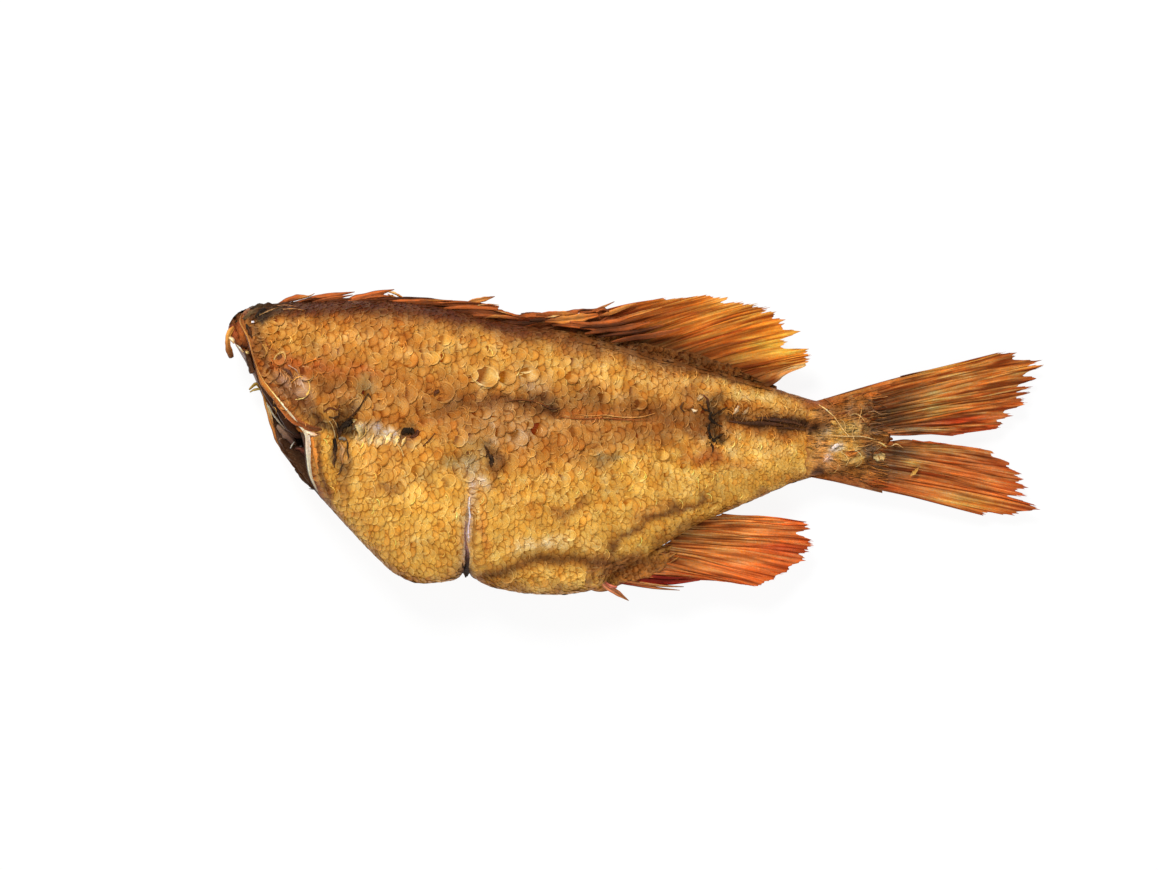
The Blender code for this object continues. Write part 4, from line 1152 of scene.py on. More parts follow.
def rays_piece(name, fan, tone, thick=0.12, seed=0, beyond=0.03):
    """The rays of a fin: each forks on its way to the edge, some twice, and ends in points."""
    draw = np.random.default_rng(seed)
    lines = []
    for ray in range(fan.count):
        fork, fork_again = draw.uniform(0.25, 0.6), draw.uniform(0.6, 0.8)
        aside, aside_again = draw.uniform(0.13, 0.22), draw.uniform(0.07, 0.12)
        for half, quarter in ((-1, 0), (1, 0), (1, 1), (-1, -1)):
            end = ray + half * aside + quarter * aside_again
            if not 0 <= end <= fan.count - 1 or quarter and draw.uniform() < 0.5:
                continue
            start = 0.0 if (half, quarter) == (-1, 0) else fork_again if quarter else fork
            along = np.linspace(start, 1, 22)
            across = ray + half * aside * smooth_step((along - fork)











                                                      / 0.25) + quarter * aside_again * smooth_step((along - fork_again) / 0.2)
            across = np.clip(across, 0, fan.count - 1)
            tip = float(fan.reach(np.array([end]))[0]) + draw.uniform(-0.02, beyond)
            along = start + (along - start) / (1 - start) * (tip - start)
            places = fan.at(across, along) + np.array([0, 0, 0.03])
            radius = thick * (1 - 0.5 * along) * (1 - np.clip((along - 0.88 * tip) / (0.12 * tip), 0, 1) * 0.85)
            radius = radius * np.where(along < fork, 1.0, 0.75) * draw.uniform(0.8, 1.15)
            lit = draw.uniform(0.75, 1.3)
            colours = tone(across, along) * np.array((lit, lit * 0.93, lit * 0.86))
            local = np.stack([across, along, np.zeros_like(along)], axis=-1)
            lines.append((places, radius, colours, local))
    return swept_lines(name, lines)


def finish_fin(*pieces):
    for piece in pieces:
        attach(piece, "root")


SOFT_DORSAL_RAYS = (  # root x and y, tip x and y
    (-12.6, 14.1, -0.4, 17.1), (-11.4, 14.0, 3.5, 18.0), (-9.6, 13.7, 6.2, 18.1), (-7.6, 13.3, 8.9, 18.4),
    (-5.4, 12.6, 11.7, 18.2), (-3.7, 12.1, 13.4, 17.6), (-2.3, 11.8, 15.1, 17.4), (-0.7, 11.3, 16.7, 16.9),
    (0.8, 10.9, 17.5, 16.4), (2.5, 10.4, 18.6, 15.4), (4.3, 10.0, 20.6, 14.0), (5.9, 9.6, 19.0, 12.7),
    (8.2, 9.0, 21.5, 11.8), (9.5, 8.6, 21.8, 11.1), (11.0, 8.3, 21.6, 10.6), (13.2, 7.8, 21.4, 10.3),
    (16.2, 7.1, 21.0, 9.7),
)
soft_fan = Fan(SOFT_DORSAL_RAYS, 3, bow=0.03, split=0.035, fray=0.022,
               gaps=((0, 0.05), (1, 0.06), (4, 0.10), (7, 0.06), (9, 0.09), (10, 0.12), (11, 0.14), (12, 0.05),
                     (14, 0.05), (15, 0.02)), fold=0.07)


def soft_tone(across, along):
    return shaded(
        across, along,
        ((0.0, (104, 64, 32)), (0.12, (104, 58, 26)), (0.28, (134, 72, 28)), (0.45, (164, 89, 32)),
         (0.65, (180, 103, 38)), (0.88, (200, 128, 48)), (1.0, (180, 105, 40))), 41,
        ((0.5, 0.35, 1.8, 0.5, (96, 42, 20), 0.9), (0.5, 0.85, 2.0, 0.25, (176, 96, 40), 0.6),
         (3.6, 0.95, 2.2, 0.10, (220, 150, 72), 0.8), (2.6, 0.5, 1.6, 0.2, (128, 56, 22), 0.7),
         (11.0, 0.80, 1.8, 0.2, (220, 156, 56), 0.9), (8.0, 0.16, 4.0, 0.14, (86, 50, 22), 0.7),
         (13.5, 0.3, 1.4, 0.3, (104, 50, 18), 0.6), (15.7, 0.8, 0.7, 0.4, (214, 176, 122), 0.7)),
    ) * (0.99, 0.91, 0.80)


finish_fin(web_piece("soft_dorsal_web", soft_fan, soft_tone),
           rays_piece("soft_dorsal_rays", soft_fan, soft_tone, seed=5))

# ---------------------------------------------------------------------------------------------
# The anal fin: ten soft rays with web, red from the smoke, behind two stout bony spines. It is
# made as the dorsal fin is.
# ---------------------------------------------------------------------------------------------
ANAL_RAYS = (
    (-3.8, -16.2, 7.8, -16.5), (-2.6, -15.2, 10.6, -16.7), (-1.2, -14.3, 13.4, -17.1), (0.4, -13.6, 15.2, -17.3),
    (1.8, -13.0, 17.2, -16.5), (2.9, -12.5, 18.7, -15.6), (3.7, -12.1, 21.1, -14.2), (4.5, -11.6, 21.5, -13.1),
    (5.3, -11.0, 22.0, -12.3), (6.1, -10.4, 21.7, -11.6), (7.0, -9.9, 21.7, -10.3), (8.2, -9.2, 21.5, -9.8),
    (10.6, -8.5, 21.2, -9.4),
)
anal_fan = Fan(ANAL_RAYS, 8, bow=0.02, split=0.03, fray=0.015,
               gaps=((5, 0.04), (6, 0.05), (9, 0.12), (10, 0.05), (11, 0.05), (0, 0.02), (1, 0.02), (2, 0.02),
                     (3, 0.02), (4, 0.03)), fold=0.06)


def anal_tone(across, along):
    return shaded(
        across, along,
        ((0.0, (140, 90, 48)), (0.18, (150, 94, 48)), (0.36, (184, 112, 54)), (0.6, (200, 110, 52)),
         (0.85, (196, 98, 46)), (1.0, (176, 78, 34))), 52,
        ((0.0, 0.3, 1.2, 0.5, (110, 38, 24), 0.8), (1.5, 0.15, 1.5, 0.2, (146, 88, 54), 0.6),
         (2.5, 0.9, 2.2, 0.25, (184, 84, 36), 0.75), (9.0, 0.2, 3.0, 0.3, (168, 100, 46), 0.6),
         (7.0, 0.8, 0.6, 0.2, (150, 44, 22), 0.6), (2.0, 0.65, 2.2, 0.3, (170, 84, 38), 0.7)),
    )


finish_fin(web_piece("anal_web", anal_fan, anal_tone),
           rays_piece("anal_rays", anal_fan, anal_tone, thick=0.14, seed=6))

# ---------------------------------------------------------------------------------------------
# The tail fin: two lobes of forked rays that fan out from the end of the spine, with a deep
# notch between them. They are made as the dorsal fin is.
# ---------------------------------------------------------------------------------------------
UPPER_TAIL_RAYS = (
    (21.6, 5.2, 45.2, 11.5), (23.0, 4.8, 47.2, 11.4), (24.2, 4.4, 50.3, 10.5), (25.2, 4.0, 50.5, 9.9),
    (26.2, 3.6, 49.5, 8.2), (27.0, 3.2, 49.0, 7.2), (27.8, 2.8, 48.8, 6.5), (28.4, 2.4, 48.0, 5.7),
    (29.0, 2.1, 48.2, 5.0), (29.7, 1.9, 46.6, 3.6), (30.4, 1.7, 45.4, 2.6), (31.0, 1.5, 44.6, 2.0),
    (31.3, 1.3, 39.0, 1.1),
)
LOWER_TAIL_RAYS = (
    (31.3, 0.5, 36.2, 0.5), (31.0, 0.1, 43.8, -0.7), (30.4, -0.3, 46.2, -2.2), (29.6, -0.7, 47.7, -3.6),
    (28.9, -1.2, 47.9, -4.2), (28.1, -1.7, 48.6, -5.3), (27.2, -2.1, 48.2, -6.3), (26.0, -2.6, 49.4, -7.4),
    (24.6, -3.0, 50.0, -8.0), (23.2, -3.4, 46.8, -8.7), (21.6, -3.8, 42.9, -8.7),
)
upper_fan = Fan(UPPER_TAIL_RAYS, 13, bow=0.015, split=0.05, fray=0.015,
                gaps=((0, 0.03), (3, 0.07), (4, 0.09), (8, 0.11), (10, 0.03), (11, 0.06)), fold=0.07, on_skin=27.4)
lower_fan = Fan(LOWER_TAIL_RAYS, 14, bow=0.02, split=0.05, fray=0.015,
                gaps=((0, 0.02), (1, 0.10), (3, 0.06), (6, 0.13), (7, 0.05), (8, 0.03)), fold=0.07, on_skin=27.8)


def upper_tail_tone(across, along):
    return shaded(
        across, along,
        ((0.0, (150, 86, 42)), (0.14, (152, 86, 40)), (0.30, (132, 78, 38)), (0.45, (158, 96, 44)),
         (0.7, (172, 98, 42)), (0.9, (174, 92, 40)), (1.0, (140, 64, 28))), 63,
        ((0.0, 0.36, 1.4, 0.10, (196, 104, 44), 0.7), (0.0, 0.75, 1.3, 0.22, (204, 140, 60), 0.85),
         (6.5, 0.16, 4.0, 0.10, (70, 48, 30), 0.9), (3.5, 0.28, 2.0, 0.08, (92, 60, 34), 0.6),
         (11.0, 0.22, 2.2, 0.3, (124, 92, 62), 0.5), (11.5, 0.85, 1.3, 0.3, (140, 44, 20), 0.7),
         (6.0, 0.45, 2.5, 0.1, (150, 120, 60), 0.5), (9.0, 0.6, 0.5, 0.25, (132, 40, 22), 0.8),
         (3.0, 0.9, 1.0, 0.12, (160, 124, 60), 0.5), (0.0, 0.25, 0.16, 0.4, (84, 42, 20), 0.85),
         (12.0, 0.3, 0.3, 0.6, (96, 42, 22), 0.8)), 1.4,
    )


def lower_tail_tone(across, along):
    return shaded(
        across, along,
        ((0.0, (160, 94, 44)), (0.14, (150, 88, 44)), (0.27, (144, 84, 44)), (0.42, (176, 98, 46)),
         (0.7, (188, 100, 44)), (0.9, (184, 90, 38)), (1.0, (156, 66, 28))), 64,
        ((10.0, 0.35, 1.2, 0.2, (156, 70, 32), 0.7), (2.5, 0.75, 2.4, 0.3, (158, 82, 42), 0.7),
         (5.5, 0.6, 2.0, 0.25, (170, 100, 52), 0.5), (3.0, 0.13, 2.6, 0.10, (88, 62, 42), 0.85),
         (6.0, 0.2, 2.5, 0.08, (104, 66, 40), 0.6), (1.0, 0.45, 1.0, 0.3, (160, 116, 58), 0.7),
         (9.0, 0.75, 1.0, 0.15, (200, 144, 62), 0.6), (4.5, 0.28, 0.5, 0.06, (216, 176, 90), 0.8),
         (10.0, 0.3, 0.16, 0.6, (90, 44, 22), 0.8), (0.0, 0.4, 0.3, 0.6, (96, 44, 24), 0.8)), 1.2,
    )


finish_fin(
    web_piece("upper_tail_web", upper_fan, upper_tail_tone),
    rays_piece("upper_tail_rays", upper_fan, upper_tail_tone, thick=0.15, seed=7),
    web_piece("lower_tail_web", lower_fan, lower_tail_tone),
    rays_piece("lower_tail_rays", lower_fan, lower_tail_tone, thick=0.15, seed=9),
)

# ---------------------------------------------------------------------------------------------
# The spiny dorsal fin: low, stiff and dried flat along the back, with its spines and web torn
# into overlapping blades that lean towards the tail.
# ---------------------------------------------------------------------------------------------
SPINY_RAYS = (
    (-45.5, 16.4, -41.5, 17.6), (-43.0, 16.7, -38.5, 18.0), (-39.0, 16.8, -34.8, 18.0), (-35.0, 16.9, -30.5, 18.5),
    (-31.0, 16.8, -25.6, 17.6), (-26.0, 16.3, -22.0, 17.5), (-22.0, 15.6, -17.2, 16.9), (-18.0, 14.9, -13.8, 15.9),
    (-14.5, 14.4, -10.6, 16.1), (-11.5, 13.9, -7.4, 16.3), (-8.5, 13.3, -4.4, 16.6), (-6.0, 12.9, -2.6, 16.4),
    (-4.0, 12.5, 0.2, 17.0),
)
spiny_fan = Fan(SPINY_RAYS, 21, split=0.10, fray=0.05, fold=0.10)


def spiny_tone(across, along):
    return shaded(
        across, along, ((0.0, (82, 44, 24)), (0.35, (104, 52, 28)), (0.75, (140, 72, 36)), (1.0, (150, 78, 38))), 71,
        ((9.0, 0.6, 1.2, 0.6, (182, 106, 50), 0.8), (11.2, 0.3, 1.0, 0.5, (96, 40, 20), 0.9),
         (4.5, 0.6, 1.2, 0.6, (80, 42, 26), 0.8)),
    )


def outward_faces(piece):
    mesh = bmesh.new()
    mesh.from_mesh(piece.data)
    bmesh.ops.recalc_face_normals(mesh, faces=mesh.faces)
    mesh.to_mesh(piece.data)
    mesh.free()


def blades_piece(name, blades, finish, around=12, ragged=0.10, steps=26):
    """Flat tapering blades and strands. Each one is its path in x, y and height above the floor,
    its half widths and half thicknesses along the path, its colours along the path, and a seed."""
    points, faces, colours, local, first = [], [], [], [], 0
    for path_points, widths, thicks, shades, seed in blades:
        share = np.linspace(0, 1, steps)
        line = path(path_points, share)
        run = np.gradient(line, axis=0)
        run /= np.linalg.norm(run, axis=1, keepdims=True) + 1e-9
        across = np.stack([-run[:, 1], run[:, 0], np.zeros(steps)], axis=1)
        across /= np.linalg.norm(across, axis=1, keepdims=True) + 1e-9
        up = np.cross(run, across)
        up *= np.where(up[:, 2:3] < 0, -1, 1)
        at = np.linspace(0, 1, len(widths))
        wide = np.interp(share, at, widths) * (1 + ragged * waves(share * 9 + seed * 3.1, share * 0, 2.2, seed))
        thick = np.interp(share, np.linspace(0, 1, len(thicks)), thicks)
        turn = 2 * math.pi * np.arange(around) / around
        ridge = 1 + 0.22 * np.cos(5 * turn + seed)
        ring = (line[:, None] + across[:, None] * (wide[:, None] * np.cos(turn))[..., None]
                + up[:, None] * (thick[:, None] * np.sin(turn) * ridge)[..., None])
        ends = np.stack([line[0] - run[0] * 0.3 * widths[0], line[-1] + run[-1] * 0.3 * widths[-1]])
        stops = np.linspace(0, 1, len(shades))
        tone = np.stack([np.interp(share, stops, channel) for channel in np.array(shades, float).T], axis=-1)
        streak = 1 + 0.20 * np.cos(3 * turn + 2.2 * seed) + 0.12 * np.sin(7 * turn + seed)
        tone = np.clip(tone[:, None] * streak[:, None] / 255, 0, 1)
        points += [ring.reshape(-1, 3), ends]
        colours += [linear(tone.reshape(-1, 3)), linear(tone[[0, -1], 0])]
        place = np.stack([np.broadcast_to(turn / 2, (steps, around)),
                          np.broadcast_to(share[:, None] * 2, (steps, around)), np.full((steps, around), seed)],
                          axis=-1)
        local += [place.reshape(-1, 3), place[[0, -1], 0]]
        quads = ring_faces(steps, around, first)
        count = steps * around
        for k in range(around):
            following = (k + 1) % around
            faces += [(first + following, first + k, first + count),
                      (first + count - around + k, first + count - around + following, first + count + 1)]
        faces += quads.tolist()
        first += count + 2
    points = np.vstack(points)
    points[:, 2] = np.maximum(points[:, 2], 0.0)
    piece = mesh_piece(name, points, faces, {"stain": np.vstack(colours), "fan": np.vstack(local)})
    outward_faces(piece)
    piece.data.materials.append(finish)
    return piece


def raised(points, lift):
    """Plan places with the height of the middle of the body under them, and a lift."""
    return [(x, y, float(middle_height(x)) + lift) for x, y in points]


def over(points, side=1, lift=0.0):
    """Plan places set on the flank, with a lift."""
    return [(x, y, float(flank_height(np.array(x), np.array(y), side)) + lift) for x, y in points]


DARK_BLADE, BROWN_BLADE, RUST_BLADE = (88, 44, 24), (132, 68, 34), (164, 84, 40)
GOLD_BLADE, PALE_BLADE, BLACK_BLADE = (186, 116, 54), (214, 168, 104), (58, 30, 18)
BLADE_THICK = (0.10, 0.14, 0.03)
SPINY_BLADES = (  # lift, path, half widths, colours
    # in front
    (0.3, ((-43.78, 16.95), (-42.32, 17.68), (-40.85, 18.11), (-39.76, 18.17)), (0.12, 0.3, 0.3, 0.04),
     (DARK_BLADE, RUST_BLADE, RUST_BLADE, GOLD_BLADE)),
    (0.45, ((-42.8, 17.32), (-41.1, 17.8), (-39.63, 18.17), (-39.02, 18.48)), (0.06, 0.15, 0.15, 0.03),
     (DARK_BLADE, BROWN_BLADE, GOLD_BLADE, GOLD_BLADE)),
    (0.4, ((-42.07, 17.07), (-40.61, 17.56), (-39.15, 17.87), (-38.17, 17.93)), (0.06, 0.18, 0.16, 0.03),
     (DARK_BLADE, BROWN_BLADE, DARK_BLADE, DARK_BLADE)),
    (0.3, ((-41.1, 17.32), (-39.02, 17.93), (-36.59, 18.29), (-34.15, 18.66)), (0.12, 0.34, 0.3, 0.04),
     (DARK_BLADE, RUST_BLADE, RUST_BLADE, BROWN_BLADE)),
    (0.45, ((-39.88, 17.2), (-37.8, 17.68), (-35.73, 18.05), (-34.39, 18.29)), (0.06, 0.24, 0.21, 0.05),
     (DARK_BLADE, BROWN_BLADE, RUST_BLADE, BROWN_BLADE)),
    (0.5, ((-38.17, 17.07), (-36.95, 17.44), (-35.37, 17.68), (-34.51, 17.8)), (0.06, 0.3, 0.3, 0.06),
     (DARK_BLADE, DARK_BLADE, DARK_BLADE, DARK_BLADE)),
    (0.3, ((-36.22, 17.07), (-34.15, 17.8), (-31.71, 18.41), (-29.32, 18.96)), (0.12, 0.43, 0.4, 0.04),
     (BROWN_BLADE, RUST_BLADE, RUST_BLADE, BROWN_BLADE)),
    (0.5, ((-36.46, 16.95), (-34.76, 17.44), (-32.93, 17.74), (-31.34, 17.87)), (0.06, 0.24, 0.21, 0.05),
     (BROWN_BLADE, RUST_BLADE, BROWN_BLADE, RUST_BLADE)),
    (0.55, ((-33.78, 17.68), (-32.07, 18.05), (-30.61, 18.17), (-29.88, 18.11)), (0.06, 0.18, 0.24, 0.06),
     (BROWN_BLADE, RUST_BLADE, RUST_BLADE, RUST_BLADE)),
    (0.5, ((-30, 18.66), (-29.39, 18.54), (-28.78, 18.23), (-28.17, 17.95)), (0.07, 0.16, 0.15, 0.03),
     (GOLD_BLADE, PALE_BLADE, GOLD_BLADE, GOLD_BLADE)),
    (0.4, ((-30.12, 18.41), (-29.63, 18.15), (-28.9, 17.98)), (0.05, 0.1, 0.03),
     (GOLD_BLADE, GOLD_BLADE, GOLD_BLADE)),
    # along the middle
    (0.45, ((-33.05, 17.62), (-30.49, 17.78), (-27.44, 17.8), (-24.15, 17.62), (-22.2, 17.56)),
     (0.06, 0.22, 0.27, 0.24, 0.06), (DARK_BLADE, DARK_BLADE, BLACK_BLADE, DARK_BLADE, DARK_BLADE)),
    (0.6, ((-31.34, 17.26), (-28.9, 17.44), (-25.61, 17.44), (-22.8, 17.2)), (0.06, 0.3, 0.37, 0.12),
     (DARK_BLADE, RUST_BLADE, BROWN_BLADE, RUST_BLADE)),
    (0.65, ((-26.22, 17.61), (-24.39, 17.61), (-22.2, 17.59)), (0.05, 0.12, 0.06),
     (RUST_BLADE, GOLD_BLADE, RUST_BLADE)),
    (0.5, ((-25, 17.07), (-22.56, 17.2), (-19.51, 17.07), (-16.59, 16.83)), (0.12, 0.43, 0.37, 0.12),
     (DARK_BLADE, BROWN_BLADE, BROWN_BLADE, RUST_BLADE)),
    (0.7, ((-23.78, 17.26), (-21.1, 17.38), (-18.66, 17.2)), (0.06, 0.18, 0.06),
     (RUST_BLADE, BROWN_BLADE, DARK_BLADE)),
    (0.4, ((-20.98, 17.2), (-19.76, 17.44), (-18.29, 17.8), (-17.07, 18.11)), (0.06, 0.37, 0.3, 0.04),
     (BROWN_BLADE, GOLD_BLADE, GOLD_BLADE, BROWN_BLADE)),
    (0.75, ((-24.02, 16.52), (-21.34, 16.77), (-18.66, 16.71), (-16.71, 16.59)), (0.12, 0.27, 0.3, 0.18),
     (BROWN_BLADE, RUST_BLADE, RUST_BLADE, RUST_BLADE)),
    (0.8, ((-19.15, 17.01), (-17.68, 17.13), (-16.59, 17.05)), (0.06, 0.09, 0.04),
     (PALE_BLADE, RUST_BLADE, PALE_BLADE)),
    (0.65, ((-23.05, 16.1), (-20.73, 16.34), (-18.29, 16.16), (-16.1, 15.85)), (0.12, 0.37, 0.37, 0.12),
     (BLACK_BLADE, DARK_BLADE, BROWN_BLADE, DARK_BLADE)),
    (0.8, ((-21.1, 15.61), (-18.9, 15.79), (-16.46, 15.61), (-14.51, 15.18)), (0.12, 0.3, 0.3, 0.09),
     (DARK_BLADE, BROWN_BLADE, BROWN_BLADE, DARK_BLADE)),
    (0.95, ((-18.54, 15.43), (-16.83, 15.67), (-15, 15.49), (-13.78, 15.24)), (0.06, 0.21, 0.21, 0.06),
     (DARK_BLADE, GOLD_BLADE, RUST_BLADE, DARK_BLADE)),
    (0.8, ((-16.83, 15.06), (-15, 14.88), (-13.05, 14.82), (-11.34, 15.12)), (0.09, 0.24, 0.24, 0.06),
     (BLACK_BLADE, DARK_BLADE, BLACK_BLADE, DARK_BLADE)),
    (0.6, ((-17.44, 16.59), (-15.98, 16.1), (-14.76, 15.79), (-13.78, 15.73)), (0.18, 0.27, 0.24, 0.12),
     (BROWN_BLADE, BROWN_BLADE, RUST_BLADE, BROWN_BLADE)),
    (0.8, ((-17.2, 16.4), (-16.1, 16.15), (-15, 15.85)), (0.04, 0.06, 0.04), (RUST_BLADE, PALE_BLADE, RUST_BLADE)),
    # behind
    (0.6, ((-14.51, 15.49), (-13.54, 15.79), (-11.83, 15.85), (-10.37, 15.61)), (0.12, 0.34, 0.34, 0.12),
     (DARK_BLADE, RUST_BLADE, RUST_BLADE, BROWN_BLADE)),
    (0.6, ((-13.9, 16), (-12.8, 16.1), (-11.95, 16.12)), (0.06, 0.12, 0.06), (DARK_BLADE, DARK_BLADE, DARK_BLADE)),
    (0.65, ((-12.07, 15.85), (-10.61, 16), (-8.9, 16.07), (-6.95, 16.1)), (0.12, 0.3, 0.27, 0.12),
     (BROWN_BLADE, RUST_BLADE, GOLD_BLADE, RUST_BLADE)),
    (0.9, ((-10.98, 15.51), (-10, 15.66), (-8.9, 15.88)), (0.05, 0.15, 0.05), (RUST_BLADE, PALE_BLADE, RUST_BLADE)),
    (0.8, ((-12.8, 15.12), (-11.59, 15.24), (-10.37, 15.37)), (0.18, 0.3, 0.12),
     (BLACK_BLADE, BLACK_BLADE, DARK_BLADE)),
    (0.75, ((-10.98, 15.12), (-8.9, 15.24), (-6.71, 15.49), (-4.51, 15.85)), (0.18, 0.49, 0.55, 0.18),
     (BROWN_BLADE, GOLD_BLADE, GOLD_BLADE, RUST_BLADE)),
    (0.6, ((-9.15, 16.07), (-7.2, 16.32), (-5.49, 16.34), (-3.9, 16.65)), (0.12, 0.24, 0.3, 0.12),
     (DARK_BLADE, RUST_BLADE, BROWN_BLADE, RUST_BLADE)),
    (0.7, ((-6.95, 16.29), (-6.22, 16.44), (-5.24, 16.46)), (0.06, 0.11, 0.06),
     (BLACK_BLADE, BLACK_BLADE, DARK_BLADE)),
    (0.45, ((-5.98, 15.91), (-4.88, 16.4), (-3.78, 16.89), (-2.5, 17.5)), (0.12, 0.21, 0.15, 0.03),
     (BROWN_BLADE, RUST_BLADE, GOLD_BLADE, BROWN_BLADE)),
    (0.6, ((-4.76, 16.22), (-3.9, 16.59), (-3.17, 16.28)), (0.09, 0.24, 0.06), (RUST_BLADE, BROWN_BLADE, DARK_BLADE)),
    (0.5, ((-4.27, 15.73), (-2.8, 16.22), (-1.22, 16.83), (0.24, 17.32)), (0.12, 0.3, 0.24, 0.05),
     (BROWN_BLADE, GOLD_BLADE, GOLD_BLADE, GOLD_BLADE)),
    (0.8, ((-10.12, 14.63), (-7.93, 14.57), (-5.49, 14.27), (-3.54, 13.9)), (0.12, 0.24, 0.3, 0.12),
     (DARK_BLADE, RUST_BLADE, BROWN_BLADE, DARK_BLADE)),
    (0.85, ((-7.93, 15), (-5.49, 14.76), (-2.8, 15), (-0.37, 15.73)), (0.12, 0.3, 0.37, 0.12),
     (RUST_BLADE, BROWN_BLADE, RUST_BLADE, RUST_BLADE)),
    (0.95, ((-6.71, 14.27), (-4.51, 14.51), (-2.07, 14.76), (0.61, 15.49)), (0.06, 0.21, 0.21, 0.06),
     (BLACK_BLADE, DARK_BLADE, DARK_BLADE, BROWN_BLADE)),
    (0.85, ((-6.1, 13.54), (-3.66, 14.02), (-1.1, 14.27), (1.83, 15)), (0.12, 0.37, 0.37, 0.12),
     (BROWN_BLADE, DARK_BLADE, BROWN_BLADE, RUST_BLADE)),
    (0.95, ((-4.51, 13.17), (-2.07, 13.54), (0.61, 13.9), (3.54, 14.63)), (0.09, 0.24, 0.24, 0.09),
     (BLACK_BLADE, DARK_BLADE, BLACK_BLADE, BROWN_BLADE)),
    (0.85, ((-2.8, 12.56), (-0.37, 13.05), (2.44, 13.41), (5.49, 14.15)), (0.12, 0.37, 0.37, 0.12),
     (BROWN_BLADE, DARK_BLADE, BROWN_BLADE, RUST_BLADE)),
    (0.8, ((-4.27, 14.76), (-1.83, 15.37), (0.61, 16.1), (3.29, 16.83)), (0.06, 0.21, 0.21, 0.06),
     (GOLD_BLADE, RUST_BLADE, GOLD_BLADE, GOLD_BLADE)),
)
spiny_blades = [
    (raised(line, lift), wide, BLADE_THICK, shades, seed)
    for seed, (lift, line, wide, shades) in enumerate(SPINY_BLADES, 1)
]
finish_fin(web_piece("spiny_dorsal_web", spiny_fan, spiny_tone),
           blades_piece("spiny_dorsal_blades", spiny_blades, fin_material))

# ---------------------------------------------------------------------------------------------
# The anal spines: two stout bony spines with a scrap of dark red web between them.
# ---------------------------------------------------------------------------------------------
spine_blades = (
    (((-4.9, -15.9, 6.2), (-4.1, -16.5, 6.2), (-3.4, -17.2, 5.9), (-2.2, -18.0, 5.3), (-0.73, -19.02, 4.6)),
     (0.18, 0.36, 0.42, 0.30, 0.03), (0.15, 0.27, 0.30, 0.2, 0.02),
     ((150, 96, 60), (190, 118, 84), (186, 112, 74), (168, 100, 58), (136, 90, 50)), 31),
    (((-4.9, -16.5, 6.7), (-4.2, -16.1, 6.8), (-3.5, -15.9, 6.7)), (0.14, 0.26, 0.12), (0.15, 0.24, 0.1),
     ((150, 96, 60), (226, 170, 150), (180, 90, 70)), 32),
    (((-3.6, -16.8, 6.3), (-2.9, -17.2, 6.1), (-2.2, -17.3, 5.8)), (0.14, 0.22, 0.12), (0.05, 0.08, 0.04),
     ((176, 84, 60), (210, 118, 94), (170, 84, 58)), 33),
    (((-5.98, -15.24, 5.4), (-2.8, -16.1, 5.2), (0.61, -16.83, 4.9), (3.54, -17.2, 4.6), (5.98, -17.32, 4.3)),
     (0.24, 0.27, 0.24, 0.18, 0.04), (0.2, 0.22, 0.2, 0.15, 0.03),
     ((140, 88, 52), (168, 98, 54), (160, 92, 50), (150, 92, 50), (126, 86, 50)), 34),
    (((-4.76, -16.1, 5), (-1.22, -16.83, 4.8), (2.44, -17.44, 4.6), (5.49, -17.74, 4.3)), (0.18, 0.21, 0.18, 0.04),
     (0.15, 0.17, 0.15, 0.03), ((120, 46, 28), (110, 40, 26), (150, 84, 46), (140, 92, 54)), 35),
    (((0.61, -16.77, 5.1), (3.05, -17.13, 4.9), (5.49, -17.32, 4.6)), (0.05, 0.07, 0.04), (0.04, 0.06, 0.03),
     ((196, 140, 90), (206, 150, 96), (170, 110, 66)), 36),
    (((-4.27, -15.61, 4.9), (-0.61, -16.34, 4.7), (3.66, -16.71, 4.4), (7.93, -16.46, 4.2)), (0.3, 0.49, 0.43, 0.12),
     (0.24, 0.39, 0.34, 0.1), ((112, 30, 20), (116, 22, 16), (104, 20, 16), (140, 50, 30)), 37),
    (((-3.54, -15.24, 5.1), (0, -15.73, 4.9), (3.66, -16.22, 4.7), (6.71, -16.22, 4.5)), (0.18, 0.24, 0.24, 0.06),
     (0.15, 0.2, 0.2, 0.05), ((140, 88, 60), (126, 60, 40), (96, 20, 16), (120, 40, 26)), 38),
    (((-2.8, -16.1, 5.1), (0.61, -16.46, 4.9), (3.54, -16.83, 4.7)), (0.06, 0.11, 0.06), (0.05, 0.09, 0.05),
     ((84, 18, 14), (150, 30, 24), (90, 20, 16)), 39),
    (((-6.46, -15, 5.8), (-5, -15.49, 5.8), (-2.8, -15.24, 5.6)), (0.37, 0.55, 0.3), (0.29, 0.44, 0.24),
     ((150, 104, 58), (142, 92, 56), (132, 80, 50)), 40),
)
finish_fin(blades_piece("anal_spines", spine_blades, fin_material, ragged=0.05))

# ---------------------------------------------------------------------------------------------
# The sheaths: scaly skin that runs out over the roots of the dorsal and anal fins and over the whole wrist of the
# tail. Each is a thin closed sheet between two edges, and the two over the fins have small plates on them.
# ---------------------------------------------------------------------------------------------
def sheath_place(low, high, u, v, sink, seed):
    """Places on a sheath's upper side: u along it and v from its low edge to its high edge. It
    sinks into the fin at its ends, and at an edge where sink says so. The last value is how far
    each place is from sinking."""
    plan = path(low, u) * (1 - v)[..., None] + path(high, u) * v[..., None]
    x, y = plan[..., 0], plan[..., 1]
    fingers = 0.09 * waves(9 * v, 0 * v, 2.2, seed + 2)
    near = np.minimum(u * 2.5, (1 - u + fingers - 0.08) * 1.8)
    near = np.minimum(near, np.minimum(v * sink[0], (1 - v) * sink[1])) / (0.14 + 0.06 * waves(x, y, 1.3, seed))
    rise = 0.60 * smooth_step(near) - 0.34 + 0.05 * waves(x, y, 0.9, seed + 1)
    return np.stack([x, y, flank_height(x, y, 1.0) + rise], axis=-1), near


